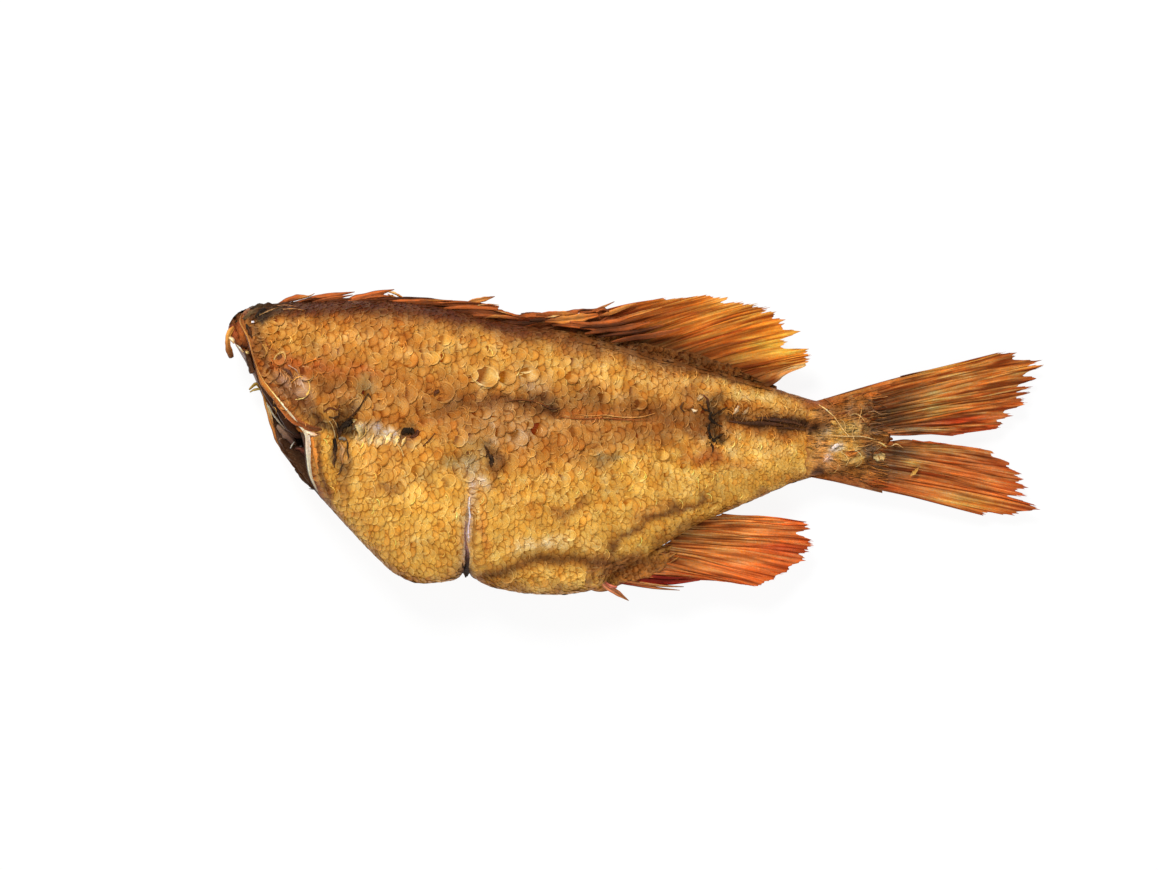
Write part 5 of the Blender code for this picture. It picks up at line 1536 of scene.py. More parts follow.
def sheath_piece(name, low, high, sink, seed, root, columns=40, rows=110):
    u, v = np.meshgrid(np.linspace(0, 1, rows), np.linspace(0, 1, columns), indexing="ij")
    top, near = sheath_place(low, high, u, v, sink, seed)
    under = top.copy()
    under[..., 2] = np.minimum(top[..., 2] - 0.06, middle_height(top[..., 0]) - 0.34)
    rings = np.concatenate([top, under[:, ::-1]], axis=1)
    around = 2 * columns
    blend = np.concatenate([near, near[:, ::-1]], axis=1)[..., None]
    stains = paint(rings[..., 0], rings[..., 1], 1)
    stains = linear(np.array(root) / 255 + (stains - np.array(root) / 255) * smooth_step(blend / 2.2))
    points = np.vstack([rings.reshape(-1, 3), rings[0].mean(axis=0), rings[-1].mean(axis=0)])
    stains = np.vstack([stains.reshape(-1, 3), stains[0].mean(axis=0), stains[-1].mean(axis=0)])
    points[:, 2] = np.maximum(points[:, 2], 0.0)
    faces = ring_faces(rows, around).tolist()
    last, total = (rows - 1) * around, rows * around
    for k in range(around):
        following = (k + 1) % around
        faces += [(following, k, total), (last + k, last + following, total + 1)]
    piece = mesh_piece(name, points, faces, {"stain": stains})
    outward_faces(piece)
    piece.data.materials.append(skin_material)
    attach(piece, "root")


def sheath_plates(name, low, high, sink, seed, along, across, size):
    """Small plates over a sheath, as many along it and across it as these numbers say."""
    draw = np.random.default_rng(seed)
    u, v = np.meshgrid(np.arange(along), np.arange(across), indexing="ij")
    u = (u + 0.5 * (v % 2) + draw.uniform(-0.3, 0.3, u.shape) + 0.3).ravel() / along
    v = (v + draw.uniform(-0.3, 0.3, v.shape) + 0.5).ravel() / across
    spots, near = sheath_place(low, high, u, v, sink, seed)
    kept = (near > draw.uniform(0.7, 3.0, len(u))) & (u > 0.02) & (u < 0.98) & (v > 0.04) & (v < 0.96)
    u, v, spots = u[kept], v[kept], spots[kept]
    lengthwise = sheath_place(low, high, u + 0.01, v, sink, seed)[0] - spots
    crosswise = sheath_place(low, high, u, v + 0.01, sink, seed)[0] - spots
    normals = np.cross(lengthwise, crosswise)
    normals *= np.where(normals[:, 2:3] < 0, -1, 1)
    normals /= np.linalg.norm(normals, axis=1, keepdims=True) + 1e-9
    sizes = size * draw.uniform(0.7, 1.3, len(u))
    dimensions = sizes[:, None] * np.stack([draw.uniform(0.9, 1.3, len(u)), draw.uniform(0.8, 1.1, len(u)),
                                            np.full(len(u), 0.5)], axis=-1)
    kinds = draw.choice([0, 1, 2], len(u), p=[0.5, 0.25, 0.25])
    lay_plates(name, spots + normals * 0.02, normals, lengthwise, dimensions, kinds, seed, 1, 9.0)


DORSAL_LOW = ((-8.0, 12.4), (-4.0, 11.7), (0.0, 10.6), (4.0, 9.6), (8.0, 8.7), (12.0, 7.6), (17.4, 6.2))
DORSAL_HIGH = ((-8.0, 14.2), (-4.0, 13.9), (0.0, 13.0), (4.0, 12.0), (8.0, 11.2), (12.0, 9.6), (17.4, 7.2))
ANAL_LOW = ((-6.6, -17.2), (-4.6, -17.9), (-3.0, -17.7), (-1.6, -17.0), (0.6, -16.7), (2.8, -15.8), (5.6, -13.6))
ANAL_HIGH = ((-6.2, -15.2), (-2.6, -14.0), (0.4, -13.2), (2.8, -12.4), (5.6, -11.8))
WRIST_LOW = ((20.6, -3.7), (21.6, -3.85), (24.5, -4.5), (27.0, -5.1), (30.4, -5.9))
WRIST_HIGH = ((20.6, 5.3), (21.9, 5.35), (24.5, 6.05), (27.0, 6.75), (30.4, 7.65))
for sheath, low, high, sink, seed, along, across, size, root in (
    ("dorsal_sheath", DORSAL_LOW, DORSAL_HIGH, (1, 1), 91, 62, 6, 0.70, (104, 62, 30)),
    ("anal_sheath", ANAL_LOW, ANAL_HIGH, (1, 1), 93, 26, 8, 0.65, (150, 96, 50)),
    ("wrist_sheath", WRIST_LOW, WRIST_HIGH, (99, 99), 95, 22, 20, 0.66, (140, 84, 42)),
):
    sheath_piece(sheath, low, high, sink, seed, root, columns=90 if across > 10 else 40)
    if sheath != "wrist_sheath":
        sheath_plates(sheath + "_scales", low, high, sink, seed, along, across, size)

# ---------------------------------------------------------------------------------------------
# Tears, strands and rims: charred cracks at the stump of the breast fin and before the tail, the pale threads of
# membrane there and over the wrist, one of them a painted glint, and the pale rims of scales that curl up, lit
# brighter than the skin as painted highlight.
# ---------------------------------------------------------------------------------------------
MARK_LIFT, WRIST_LIFT, MARK_THICK = 0.20, 0.42, (0.04, 0.07, 0.03)
TEARS = (  # path, half widths, colours, seed; a path with heights of its own is kept as it is
    # the stump of the breast fin
    (((-33.9, 3.17), (-34.51, 2.68), (-35.37, 2.2), (-35.61, 1.46), (-35.85, 0.85)), (0.12, 0.3, 0.3, 0.24, 0.06),
     (SOOT, SOOT, CHAR), 101),
    (((-35.37, 2.56), (-34.76, 2.8), (-34.27, 2.44), (-34.02, 2.07)), (0.06, 0.12, 0.06), (SOOT, SOOT), 102),
    (((-35.98, 2.8), (-35.85, 1.83), (-35.73, 0.98)), (0.06, 0.15, 0.06), (SOOT, CHAR), 103),
    (((-35.61, 1.46), (-34.88, 2.8), (-33.9, 3.78), (-33.29, 4.51), (-32.8, 5.24), (-32.2, 6.22)),
     (0.18, 0.16, 0.12, 0.1, 0.07, 0.05), (SOOT, CHAR, (70, 50, 34)), 104),
    (((-32.2, 6.22), (-31.95, 5.85), (-31.83, 5.49)), (0.06, 0.08, 0.04), ((70, 50, 34), (84, 56, 36)), 105),
    (((-37.56, 4.02), (-36.83, 4.51), (-35.98, 4.27), (-35.61, 4.88)), (0.07, 0.11, 0.06),
     ((90, 48, 26), (84, 44, 26)), 106),
    (((-35.61, 4.15), (-35.85, 3.54), (-36.34, 3.29), (-36.95, 3.41)), (0.06, 0.12, 0.06), (CHAR, SOOT), 107),
    (((-36.95, 2.93), (-36.59, 2.44), (-36.34, 1.71), (-36.22, 0.98), (-36.34, 0.49)), (0.04, 0.05, 0.03),
     ((190, 160, 110), (196, 166, 112)), 108),
    (((-36.46, 3.17), (-36.1, 2.56), (-35.85, 1.83)), (0.04, 0.05, 0.03), ((190, 160, 110), (180, 140, 90)), 109),
    (((-36.1, 1.3), (-36.3, 0.5), (-36.2, -0.2), (-36.4, -0.85)), (0.08, 0.20, 0.26, 0.12), (CHAR, SOOT, SOOT, CHAR),
     110),
    (((-36.4, -0.7), (-36.2, -1.4), (-36.42, -2.0), (-36.3, -2.7)), (0.14, 0.11, 0.15, 0.04),
     ((60, 40, 28), (76, 48, 30), (92, 58, 34)), 111),
    (((-34.9, 0.75), (-34.7, 0.1), (-34.82, -0.6), (-34.6, -1.3), (-34.75, -1.8)), (0.05, 0.10, 0.06, 0.09, 0.03),
     ((72, 50, 34), (56, 40, 30), (88, 58, 36)), 112),
    (((-35.37, -2.32), (-35.61, -3.05), (-35.85, -3.54)), (0.06, 0.11, 0.06), ((60, 42, 30), (80, 52, 34)), 113),
    (((-34.15, 3.05), (-33.17, 2.93), (-32.56, 2.2), (-32.56, 1.34), (-33.41, 0.61)), (0.05, 0.09, 0.07, 0.05),
     ((206, 166, 92), (190, 146, 78)), 114),
    (((-35.8, 0.75), (-35.4, 0.85), (-35.0, 0.65)), (0.12, 0.24, 0.12), ((104, 94, 84), (122, 110, 96)), 115),
    (((-35.7, 0.3), (-35.3, -0.5), (-35.5, -1.4), (-35.3, -2.3)), (0.16, 0.30, 0.26, 0.08),
     ((150, 104, 62), (196, 142, 86), (184, 126, 70), (140, 92, 50)), 116),
    (((-33.9, 2.9), (-33.3, 2.2), (-33.1, 1.3), (-33.4, 0.8)), (0.16, 0.55, 0.48, 0.12),
     ((176, 148, 96), (196, 166, 112), (188, 152, 92), (204, 166, 100)), 117),
    (((-34.51, 5), (-34.02, 5.49), (-33.29, 5.73)), (0.05, 0.07, 0.05), ((206, 150, 84), (196, 136, 70)), 116),
    # pale patches and a hole behind it
    (((-32.2, -0.12), (-31.95, 0.61), (-31.59, 1.34)), (0.12, 0.37, 0.12),
     ((200, 152, 84), (220, 188, 132), (200, 152, 84)), 117),
    (((-31.22, -0.24), (-30.85, 0.49), (-30.49, 1.1)), (0.12, 0.43, 0.12),
     ((200, 152, 84), (222, 190, 134), (204, 158, 90)), 118),
    (((-30.12, 0.12), (-29.76, 0.85), (-29.39, 1.46)), (0.12, 0.37, 0.12),
     ((204, 158, 90), (220, 188, 132), (204, 160, 92)), 119),
    (((-29.02, -0.12), (-28.78, 0.73), (-28.41, 1.34)), (0.12, 0.37, 0.12),
     ((190, 146, 80), (212, 176, 114), (196, 150, 84)), 120),
    (((-28.17, -0.12), (-27.93, 0.49), (-27.68, 0.98)), (0.09, 0.24, 0.09),
     ((190, 146, 80), (208, 168, 104), (196, 150, 84)), 121),
    (((-28.17, 1.34), (-27.68, 1.83), (-26.95, 1.71), (-26.71, 1.22)), (0.18, 0.43, 0.37, 0.12),
     (CHAR, SOOT, SOOT, CHAR), 122),
    (((-27.2, 0.98), (-26.46, 1.22), (-26.22, 1.83)), (0.12, 0.24, 0.12), ((90, 50, 34), (84, 46, 30)), 123),
    (((-28.9, 0.49), (-28.17, -0.61), (-27.93, -1.34)), (0.04, 0.07, 0.04), ((220, 186, 124), (206, 166, 100)), 124),
    (((-25.61, -0.12), (-24.88, 0.61), (-24.15, 1.46)), (0.05, 0.09, 0.05), ((84, 46, 26), (96, 54, 30)), 125),
    (((-24.27, 5.98), (-24.02, 6.34), (-23.66, 6.59)), (0.12, 0.24, 0.12), ((84, 48, 28), (70, 40, 26)), 126),
    (((-17.68, -0.98), (-17.32, -1.71), (-17.44, -2.56)), (0.12, 0.3, 0.12), ((74, 46, 30), SOOT, CHAR), 127),
    (((-18.17, -0.12), (-17.8, -0.73), (-18.05, -1.46)), (0.06, 0.15, 0.06), (CHAR, CHAR), 128),
    # rims of large curled scales high on the flank
    (((-18.54, 6.89), (-17.68, 6.95), (-16.95, 7.56), (-16.59, 8.41), (-16.71, 9.27)), (0.05, 0.11, 0.09, 0.04),
     ((224, 178, 104), (242, 206, 136), (214, 162, 90)), 129),
    (((-20, 9.02), (-19.63, 8.05), (-18.9, 7.32), (-18.05, 6.95)), (0.03, 0.06, 0.03),
     ((206, 150, 76), (232, 190, 116), (214, 160, 84)), 130),
    # the lateral line
    (((-7.32, 3.78), (-5.49, 3.54), (-3.66, 3.66), (-1.83, 3.41), (0.61, 3.41), (2.44, 3.9)),
     (0.03, 0.05, 0.04, 0.05, 0.03), ((190, 124, 62), (216, 156, 88), (196, 130, 66)), 131),
    (((-9.15, 3.41), (-6.71, 3.17), (-3.66, 3.23), (-0.61, 3.05), (1.83, 3.17)), (0.04, 0.08, 0.07, 0.04),
     ((140, 74, 34), (120, 58, 26), (140, 74, 34)), 132),
    (((-15.85, 5.24), (-14.02, 5.49), (-12.07, 5.24), (-10.49, 4.63)), (0.04, 0.09, 0.07, 0.04),
     ((110, 62, 30), (96, 52, 26), (120, 66, 32)), 133),
    (((-11.59, 5), (-10.12, 4.39), (-9.15, 4.51)), (0.06, 0.15, 0.06), ((84, 46, 26), (66, 38, 24), (90, 50, 28)),
     134),
    (((7.93, 6.22), (8.66, 5.73), (8.9, 5)), (0.06, 0.13, 0.06), ((120, 58, 30), (90, 44, 26)), 135),
    # the charred crust of the nape
    (((-48.7, 14.9, 5.4), (-48.15, 15.6, 5.3), (-47.5, 16.15, 5.3), (-46.8, 16.5, 5.5)), (0.1, 0.28, 0.30, 0.14),
     (SOOT, CHAR, SOOT), 136),
    (((-46.7, 16.4), (-46.2, 16.6), (-45.3, 16.75), (-43.54, 16.95)), (0.15, 0.46, 0.46, 0.2),
     (SOOT, (74, 56, 38), CHAR, (60, 40, 28)), 137),
    (((-48.3, 15.7, 5.3), (-48.1, 16.1, 5.3), (-47.95, 16.4, 5.2)), (0.2, 0.25, 0.08), (SOOT, SOOT), 138),
    (((-47.1, 16.3, 5.4), (-46.8, 16.7, 5.4), (-46.4, 16.95, 5.3)), (0.25, 0.25, 0.08), (SOOT, SOOT), 139),
    (((-47.44, 15.24), (-46.46, 15.98), (-45.49, 16.34), (-44.27, 16.59)), (0.12, 0.43, 0.37, 0.12),
     ((84, 62, 40), (96, 76, 50), CHAR, CHAR), 140),
    (((-45.98, 15.49), (-45.24, 16.22), (-44.27, 16.71), (-43.29, 16.83)), (0.12, 0.3, 0.24, 0.09),
     (SOOT, SOOT, CHAR), 141),
    (((-44.76, 16.1), (-43.78, 16.83), (-42.07, 17.2), (-40.37, 17.32)), (0.06, 0.21, 0.21, 0.06),
     ((66, 42, 28), (84, 52, 32), (70, 42, 26)), 142),
    (((-45.49, 15.73), (-44.51, 16.22), (-43.29, 16.71)), (0.04, 0.06, 0.03),
     ((160, 116, 70), (190, 140, 86), (150, 100, 60)), 143),
    (((-43.78, 16.83), (-42.68, 17.01), (-41.1, 16.83)), (0.03, 0.05, 0.03), ((190, 130, 84), (170, 110, 66)), 144),
    (((-42.68, 16.46), (-41.34, 16.52), (-40.12, 16.34)), (0.03, 0.05, 0.03), ((206, 150, 96), (176, 120, 70)), 145),
    (((-46.46, 14.94), (-46.28, 14.88), (-46.1, 14.94)), (0.09, 0.15, 0.09),
     ((214, 200, 190), (236, 226, 220), (206, 180, 160)), 146),
    (((-47.07, 14.63), (-46.71, 13.9), (-46.34, 13.05)), (0.12, 0.24, 0.12), (SOOT, CHAR, (66, 38, 24)), 147),
    # the collar behind the cut
    (((-42.93, 9.63), (-43.54, 10.24), (-43.29, 10.85), (-42.44, 11.22), (-42.2, 10.61), (-42.44, 9.88),
      (-42.93, 9.63)), (0.05, 0.1, 0.1, 0.1, 0.1, 0.05), ((206, 150, 76), (226, 176, 100), (214, 160, 88)), 148),
    (((-43.29, 10.37), (-42.8, 10.61), (-42.44, 10.73)), (0.09, 0.3, 0.09), ((120, 68, 34), (104, 60, 34)), 149),
    (((-41.46, 7.56), (-40.49, 8.29), (-39.51, 7.8), (-39.27, 6.71), (-40, 5.73), (-40.98, 5.49)),
     (0.04, 0.09, 0.1, 0.1, 0.05), ((206, 140, 66), (226, 166, 88), (236, 182, 104)), 150),
    (((-40.12, 9.51), (-39.27, 9.27), (-38.9, 8.29), (-39.39, 7.56)), (0.04, 0.09, 0.09, 0.04),
     ((222, 176, 112), (236, 200, 140), (206, 150, 86)), 151),
    (((-42.44, 9.27), (-41.71, 8.78), (-41.22, 7.93)), (0.06, 0.18, 0.06),
     ((96, 58, 40), (84, 50, 36), (110, 66, 44)), 152),
    (((-41.83, 9.63), (-40.85, 9.02), (-40.49, 8.17)), (0.04, 0.07, 0.04), ((190, 150, 120), (170, 124, 96)), 153),
    (((-45, 12.2), (-44.51, 11.34), (-44.76, 10.61)), (0.05, 0.09, 0.05), ((206, 150, 74), (186, 124, 56)), 154),
    (((-44.76, 13.05), (-44.27, 11.95), (-43.29, 11.22)), (0.04, 0.07, 0.04), ((140, 70, 30), (170, 84, 34)), 155),
    (((-40.24, 9.63), (-39.88, 10.49), (-39.76, 11.34)), (0.03, 0.06, 0.03), ((206, 130, 56), (190, 116, 50)), 156),
    (((-40, 9.76), (-38.9, 10.24), (-37.8, 10.49)), (0.03, 0.07, 0.03), ((206, 120, 46), (190, 104, 40)), 157),
    # the torn star before the tail
    (((9.27, 4.02), (9.02, 3.29), (9.39, 2.93), (10.12, 2.44), (10.61, 2.32)), (0.09, 0.18, 0.13, 0.06),
     (SOOT, SOOT, CHAR), 142),
    (((9.02, 4.02), (8.78, 5), (8.66, 5.73)), (0.12, 0.13, 0.06), (SOOT, CHAR), 143),
    (((9.39, 3.54), (10.12, 4.02), (10.73, 4.39), (11.22, 4.63)), (0.07, 0.11, 0.06), (SOOT, CHAR), 144),
    (((11.22, 3.9), (12.2, 3.41), (13.41, 3.17)), (0.05, 0.07, 0.04), (CHAR, (84, 52, 32)), 145),
    (((9.02, 2.56), (8.9, 1.83), (9.15, 1.1)), (0.07, 0.15, 0.07), (SOOT, SOOT), 146),
    (((8.9, 1.1), (9.51, 0.61), (9.88, 0.24)), (0.12, 0.24, 0.1), (SOOT, SOOT), 147),
    (((9.02, 0.37), (9.39, -0.12), (9.39, -0.85)), (0.07, 0.13, 0.05), (SOOT, CHAR), 148),
    (((9.63, 0.73), (10.37, 1.22), (10.98, 1.34)), (0.06, 0.11, 0.06), (SOOT, CHAR), 149),
    (((7.8, 5), (8.29, 4.39), (8.9, 4.15)), (0.06, 0.12, 0.06), (CHAR, SOOT), 150),
    (((5.85, 5.24), (5.49, 4.51), (5.98, 4.02)), (0.05, 0.09, 0.05), ((84, 56, 38), (70, 46, 32)), 151),
    (((6.83, 4.39), (7.2, 4.15), (7.56, 4.27)), (0.07, 0.15, 0.07),
     ((214, 180, 140), (236, 210, 170), (206, 166, 120)), 152),
    (((11.95, 3.78), (12.32, 4.27), (12.56, 4.76)), (0.12, 0.3, 0.12),
     ((176, 140, 100), (196, 160, 116), (170, 130, 90)), 153),
    (((7.56, 5.49), (7.93, 5.85), (8.41, 6.1)), (0.12, 0.3, 0.12), ((180, 140, 96), (206, 166, 116), (184, 140, 90)),
     154),
    (((13.05, 3.78), (13.54, 4.15), (13.78, 4.63)), (0.09, 0.22, 0.09),
     ((170, 128, 84), (186, 146, 100), (160, 116, 74)), 155),
    # the dark streak to the tail
    (((11.34, 2.93), (13.41, 2.68), (15.73, 2.68), (18.05, 2.44)), (0.06, 0.24, 0.3, 0.12),
     ((74, 44, 28), (60, 36, 24), (66, 38, 24), (84, 48, 28)), 156),
    (((14.51, 3.41), (16.46, 3.17), (18.66, 2.93), (20.49, 2.44)), (0.06, 0.24, 0.3, 0.09),
     ((90, 56, 34), (56, 34, 24), (60, 36, 24), (84, 50, 30)), 157),
    (((17.2, 2.07), (18.9, 2.07), (20.85, 1.83)), (0.06, 0.18, 0.06), ((74, 46, 28), (66, 40, 26), (90, 56, 32)),
     158),
    # the cleft below the belly
    (((-20, -6.22), (-20.12, -7.32), (-20, -8.66), (-20.24, -10.12), (-20.12, -11.59)),
     (0.07, 0.15, 0.15, 0.12, 0.06), ((224, 196, 180), (244, 226, 222), (214, 184, 178), (232, 206, 200)), 159),
    (((-20.49, -9.15), (-20.61, -10.61), (-20.49, -12.2), (-20.61, -14.02)), (0.06, 0.11, 0.11, 0.06),
     ((166, 124, 110), (150, 110, 104), (120, 84, 80), (84, 56, 50)), 160),
    (((-20.37, -12.2), (-20.24, -13.54), (-20.37, -14.76), (-20.49, -15.98)), (0.09, 0.18, 0.37, 0.37, 0.12),
     ((150, 112, 108), (74, 48, 40), (40, 28, 24), (36, 26, 24)), 161),
    (((-20.98, -14.39), (-20.85, -15.24), (-20.61, -16.1)), (0.06, 0.18, 0.12), ((74, 46, 32), (40, 28, 24)), 162),
)
tears = [
    (line if len(line[0]) == 3 else over(line, 1, MARK_LIFT), wide, MARK_THICK, shades, seed)
    for line, wide, shades, seed in TEARS
]
WRIST_STRANDS = (  # path, half widths, half thicknesses where they differ, colours, seed
    (((22.44, 4.94), (23.29, 4.39), (23.78, 3.95), (24.27, 3.54)), (0.05, 0.11, 0.12, 0.06),
     ((226, 176, 104), (244, 210, 150), (240, 204, 140)), 201),
    (((24.27, 3.54), (24.88, 2.68), (25.37, 1.95), (25.73, 1.51), (26.22, 1.04)), (0.06, 0.1, 0.12, 0.09, 0.06),
     ((214, 168, 96), (232, 190, 120), (240, 204, 136)), 202),
    (((23.9, 2.93), (24.39, 2.68), (24.76, 2.56)), (0.15, 0.3, 0.12),
     ((206, 150, 74), (236, 186, 96), (214, 160, 80)), 203),
    (((22.07, 1.22), (23.78, 1.16), (25.98, 1.05), (27.8, 1.05), (29.63, 0.61)), (0.05, 0.1, 0.11, 0.1, 0.06),
     ((206, 158, 92), (226, 182, 112), (236, 200, 136), (226, 180, 110)), 204),
    (((26.22, 3.54), (26.95, 3.84), (27.68, 3.48), (28.17, 2.8)), (0.05, 0.09, 0.08, 0.04),
     ((220, 176, 108), (234, 196, 132), (206, 156, 90)), 205),
    (((27.2, 2.2), (27.44, 3.17), (27.8, 4.27), (27.68, 5)), (0.04, 0.07, 0.06, 0.04),
     ((206, 150, 84), (220, 170, 100), (206, 150, 84)), 206),
    (((25.73, 1.71), (25.61, 2.68), (25.12, 3.17)), (0.04, 0.07, 0.04), ((220, 180, 110), (200, 152, 84)), 207),
    (((26.83, 0.49), (26.59, 1.59), (26.95, 2.32)), (0.04, 0.07, 0.04), ((226, 190, 124), (206, 160, 92)), 208),
    # a painted glint on the wrist, near white
    (((24.02, -0.61), (24.51, -0.12), (25.37, 0.12)), (0.15, 0.37, 0.15),
     ((214, 196, 180), (246, 240, 240), (220, 196, 170)), 209),
    (((23.05, -2.07), (23.41, -1.71), (23.78, -1.34)), (0.11, 0.27, 0.11),
     ((206, 160, 130), (232, 190, 168), (206, 156, 120)), 210),
    (((25.12, -1.71), (25.61, -1.71), (26.22, -1.59)), (0.18, 0.43, 0.18),
     ((196, 140, 70), (222, 178, 96), (206, 152, 78)), 211),
    (((26.22, -2.2), (27.2, -1.71), (28.17, -1.46)), (0.24, 0.55, 0.18),
     ((200, 148, 74), (226, 186, 106), (206, 160, 86)), 212),
    (((25.12, -0.85), (25.73, -1.22), (26.1, -1.83), (25.85, -2.44)), (0.04, 0.08, 0.04),
     ((240, 208, 140), (232, 196, 124)), 213),
    (((26.95, -0.61), (27.68, -1.22), (27.68, -2.2), (27.07, -2.68)), (0.05, 0.09, 0.05),
     ((244, 214, 146), (236, 200, 130)), 214),
    (((25.85, -0.85), (26.59, -1.16), (27.56, -0.73)), (0.07, 0.22, 0.07),
     ((176, 92, 36), (206, 118, 46), (190, 104, 42)), 215),
    (((25.37, -0.73), (26.46, -0.79), (27.56, -0.67)), (0.04, 0.06, 0.04), ((92, 46, 22), (84, 42, 22)), 216),
    (over(((29.25, -1.35), (29.9, -1.35), (30.6, -1.5)), 1, WRIST_LIFT - 0.12), (0.5, 1.05, 0.5),
     ((206, 176, 112), (232, 208, 146), (206, 170, 104)), 217),
    (((29.8, -1.25), (29.95, -1.5), (29.95, -1.75)), (0.06, 0.14, 0.06), ((170, 128, 74), (150, 108, 60)), 218),
    (raised(((30.2, 0.85), (31.1, 0.80), (31.65, 0.72)), 0.25), (0.55, 0.48, 0.12), (0.12, 0.14, 0.06),
     ((128, 66, 34), (104, 50, 26), (84, 38, 20)), 238),
    (((29.15, -1.95), (29.27, -0.85), (30, -0.12)), (0.04, 0.07, 0.04), ((66, 44, 34), (58, 38, 30)), 219),
    (((29.76, 0.37), (30.37, 0.12), (30.85, -0.24)), (0.06, 0.16, 0.06),
     ((214, 160, 84), (240, 204, 130), (222, 176, 98)), 220),
    (((28.9, 0.61), (29.63, 0.37), (30.37, 0.61)), (0.04, 0.07, 0.04), ((206, 150, 84), (190, 130, 70)), 221),
    (((31.46, -0.12), (32.07, 0.12), (32.93, -0.37)), (0.05, 0.11, 0.04),
     ((244, 216, 160), (232, 190, 120), (206, 140, 70)), 222),
    (((26.1, -2.8), (27.68, -2.87), (29.27, -3.05)), (0.04, 0.07, 0.04), ((74, 42, 26), (84, 48, 28)), 223),
    (((23.66, -3.29), (24.27, -3.41), (24.76, -2.93), (24.88, -2.32)), (0.04, 0.08, 0.07, 0.04),
     ((206, 150, 80), (232, 184, 104), (206, 150, 80)), 224),
    (((23.29, -3.05), (23.78, -3.54), (24.51, -3.66)), (0.04, 0.06, 0.04), ((206, 140, 74), (190, 120, 62)), 225),
    (((33.78, -3.78), (34.39, -3.29), (34.76, -2.8)), (0.14, 0.34, 0.16),
     ((160, 112, 50), (176, 132, 58), (166, 116, 50)), 226),
    (((28.41, 4.88), (29.15, 4.39), (30, 4.02), (30.85, 4.27)), (0.04, 0.09, 0.07, 0.04),
     ((96, 66, 50), (70, 46, 36), (84, 56, 40)), 227),
    (((28.54, 4.02), (29.39, 4.15), (30.12, 3.78), (31.1, 3.9)), (0.04, 0.08, 0.07, 0.04),
     ((176, 136, 100), (160, 120, 86), (150, 104, 66)), 228),
    (((28.41, 3.29), (29.39, 3.05), (30.37, 3.17), (31.46, 3.41)), (0.06, 0.15, 0.15, 0.06),
     ((66, 44, 34), (44, 30, 26), (52, 34, 28), (74, 44, 30)), 229),
    (((28.66, 2.56), (29.63, 2.68), (30.61, 2.56)), (0.04, 0.09, 0.04), ((150, 112, 84), (140, 100, 74)), 230),
    (((28.78, 2.2), (29.88, 2.07), (30.98, 2.32)), (0.06, 0.12, 0.06), ((96, 70, 54), (74, 50, 40), (90, 58, 40)),
     231),
    (((28.54, 5.61), (29.39, 5.24), (30.37, 5.49)), (0.05, 0.11, 0.05), ((84, 54, 38), (66, 42, 32), (84, 52, 34)),
     232),
    (((28.66, 1.71), (29.39, 1.34), (30.24, 1.46)), (0.05, 0.1, 0.05), ((110, 82, 66), (96, 68, 54)), 233),
    (((29.02, -2.44), (30.12, -2.68), (31.59, -3.05)), (0.06, 0.12, 0.06), ((74, 50, 40), (60, 40, 32), (84, 52, 36)),
     234),
    (((28.17, -1.83), (28.66, -2.32), (29.39, -2.56)), (0.05, 0.1, 0.05), ((90, 62, 46), (74, 50, 38)), 235),
    (((23.17, 5.73), (23.9, 5.24), (24.51, 4.39)), (0.04, 0.06, 0.04), ((206, 140, 80), (190, 120, 66)), 236),
    (((24.76, 3.78), (25.49, 3.9), (26.34, 4.15)), (0.05, 0.12, 0.05), ((130, 60, 34), (110, 50, 30), (130, 64, 36)),
     237),
)
STRAND_WIDTH, STRAND_COLOUR, UNDER_STRANDS = 0.75, 0.72, (150, 100, 52)
wrist_strands = [
    (line if len(line[0]) == 3 else over(line, 1, WRIST_LIFT),
     [STRAND_WIDTH * wide for wide in half],
     own[0] if own else MARK_THICK,
     [tuple(STRAND_COLOUR * channel + 0.28 * under for channel,
            under in zip(shade, UNDER_STRANDS)) for shade in shades],
     seed)
    for line, half, *own, shades, seed in WRIST_STRANDS
]
skin_tears = blades_piece("skin_tears", tears + wrist_strands, skin_material, around=6, ragged=0.25, steps=14)
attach(skin_tears, "root")

draw = np.random.default_rng(83)
RIM_TRIES, FIBRES = 1500, 420
rims = []
for _ in range(RIM_TRIES):
    x, down, chance = draw.uniform(-44.5, 20.5), draw.uniform(0.04, 0.92), draw.uniform()
    y = float(back_line(x) + (belly_line(x) - back_line(x)) * down)
    near = sum(share * math.exp(-(((x - a) / along) ** 2) - ((y - b) / across) ** 2) for a, b, along, across,
               share in CURLED)
    radius, start, span = draw.uniform(0.30, 0.72), draw.uniform(-1.5, -0.2), draw.uniform(1.0, 2.4)
    # The rims are brighter than the skin under them, by glow and a little cream: painted highlight on their raised
    # edges.
    glow, thick = draw.uniform(1.12, 1.40), draw.uniform(0.030, 0.055)
    if chance > (0.30 if down < 0.55 else 0.14) + near or bare_upper(x, y):
        continue
    angle = start + span * np.linspace(0, 1, 9)
    rim_x, rim_y = x + radius * np.cos(angle), y + 1.1 * radius * np.sin(angle)
    height = flank_height(rim_x, rim_y, 1.0) + MARK_LIFT
    colour = linear(np.clip(paint(rim_x, rim_y, 1) * glow + np.array((0.03, 0.06, 0.07)), 0, 1))
    taper = thick * (0.35 + 0.65 * np.sin(math.pi * np.linspace(0.05, 0.95, 9)))
    rims.append((np.stack([rim_x, rim_y, height], axis=-1), taper, colour, np.zeros((9, 3))))
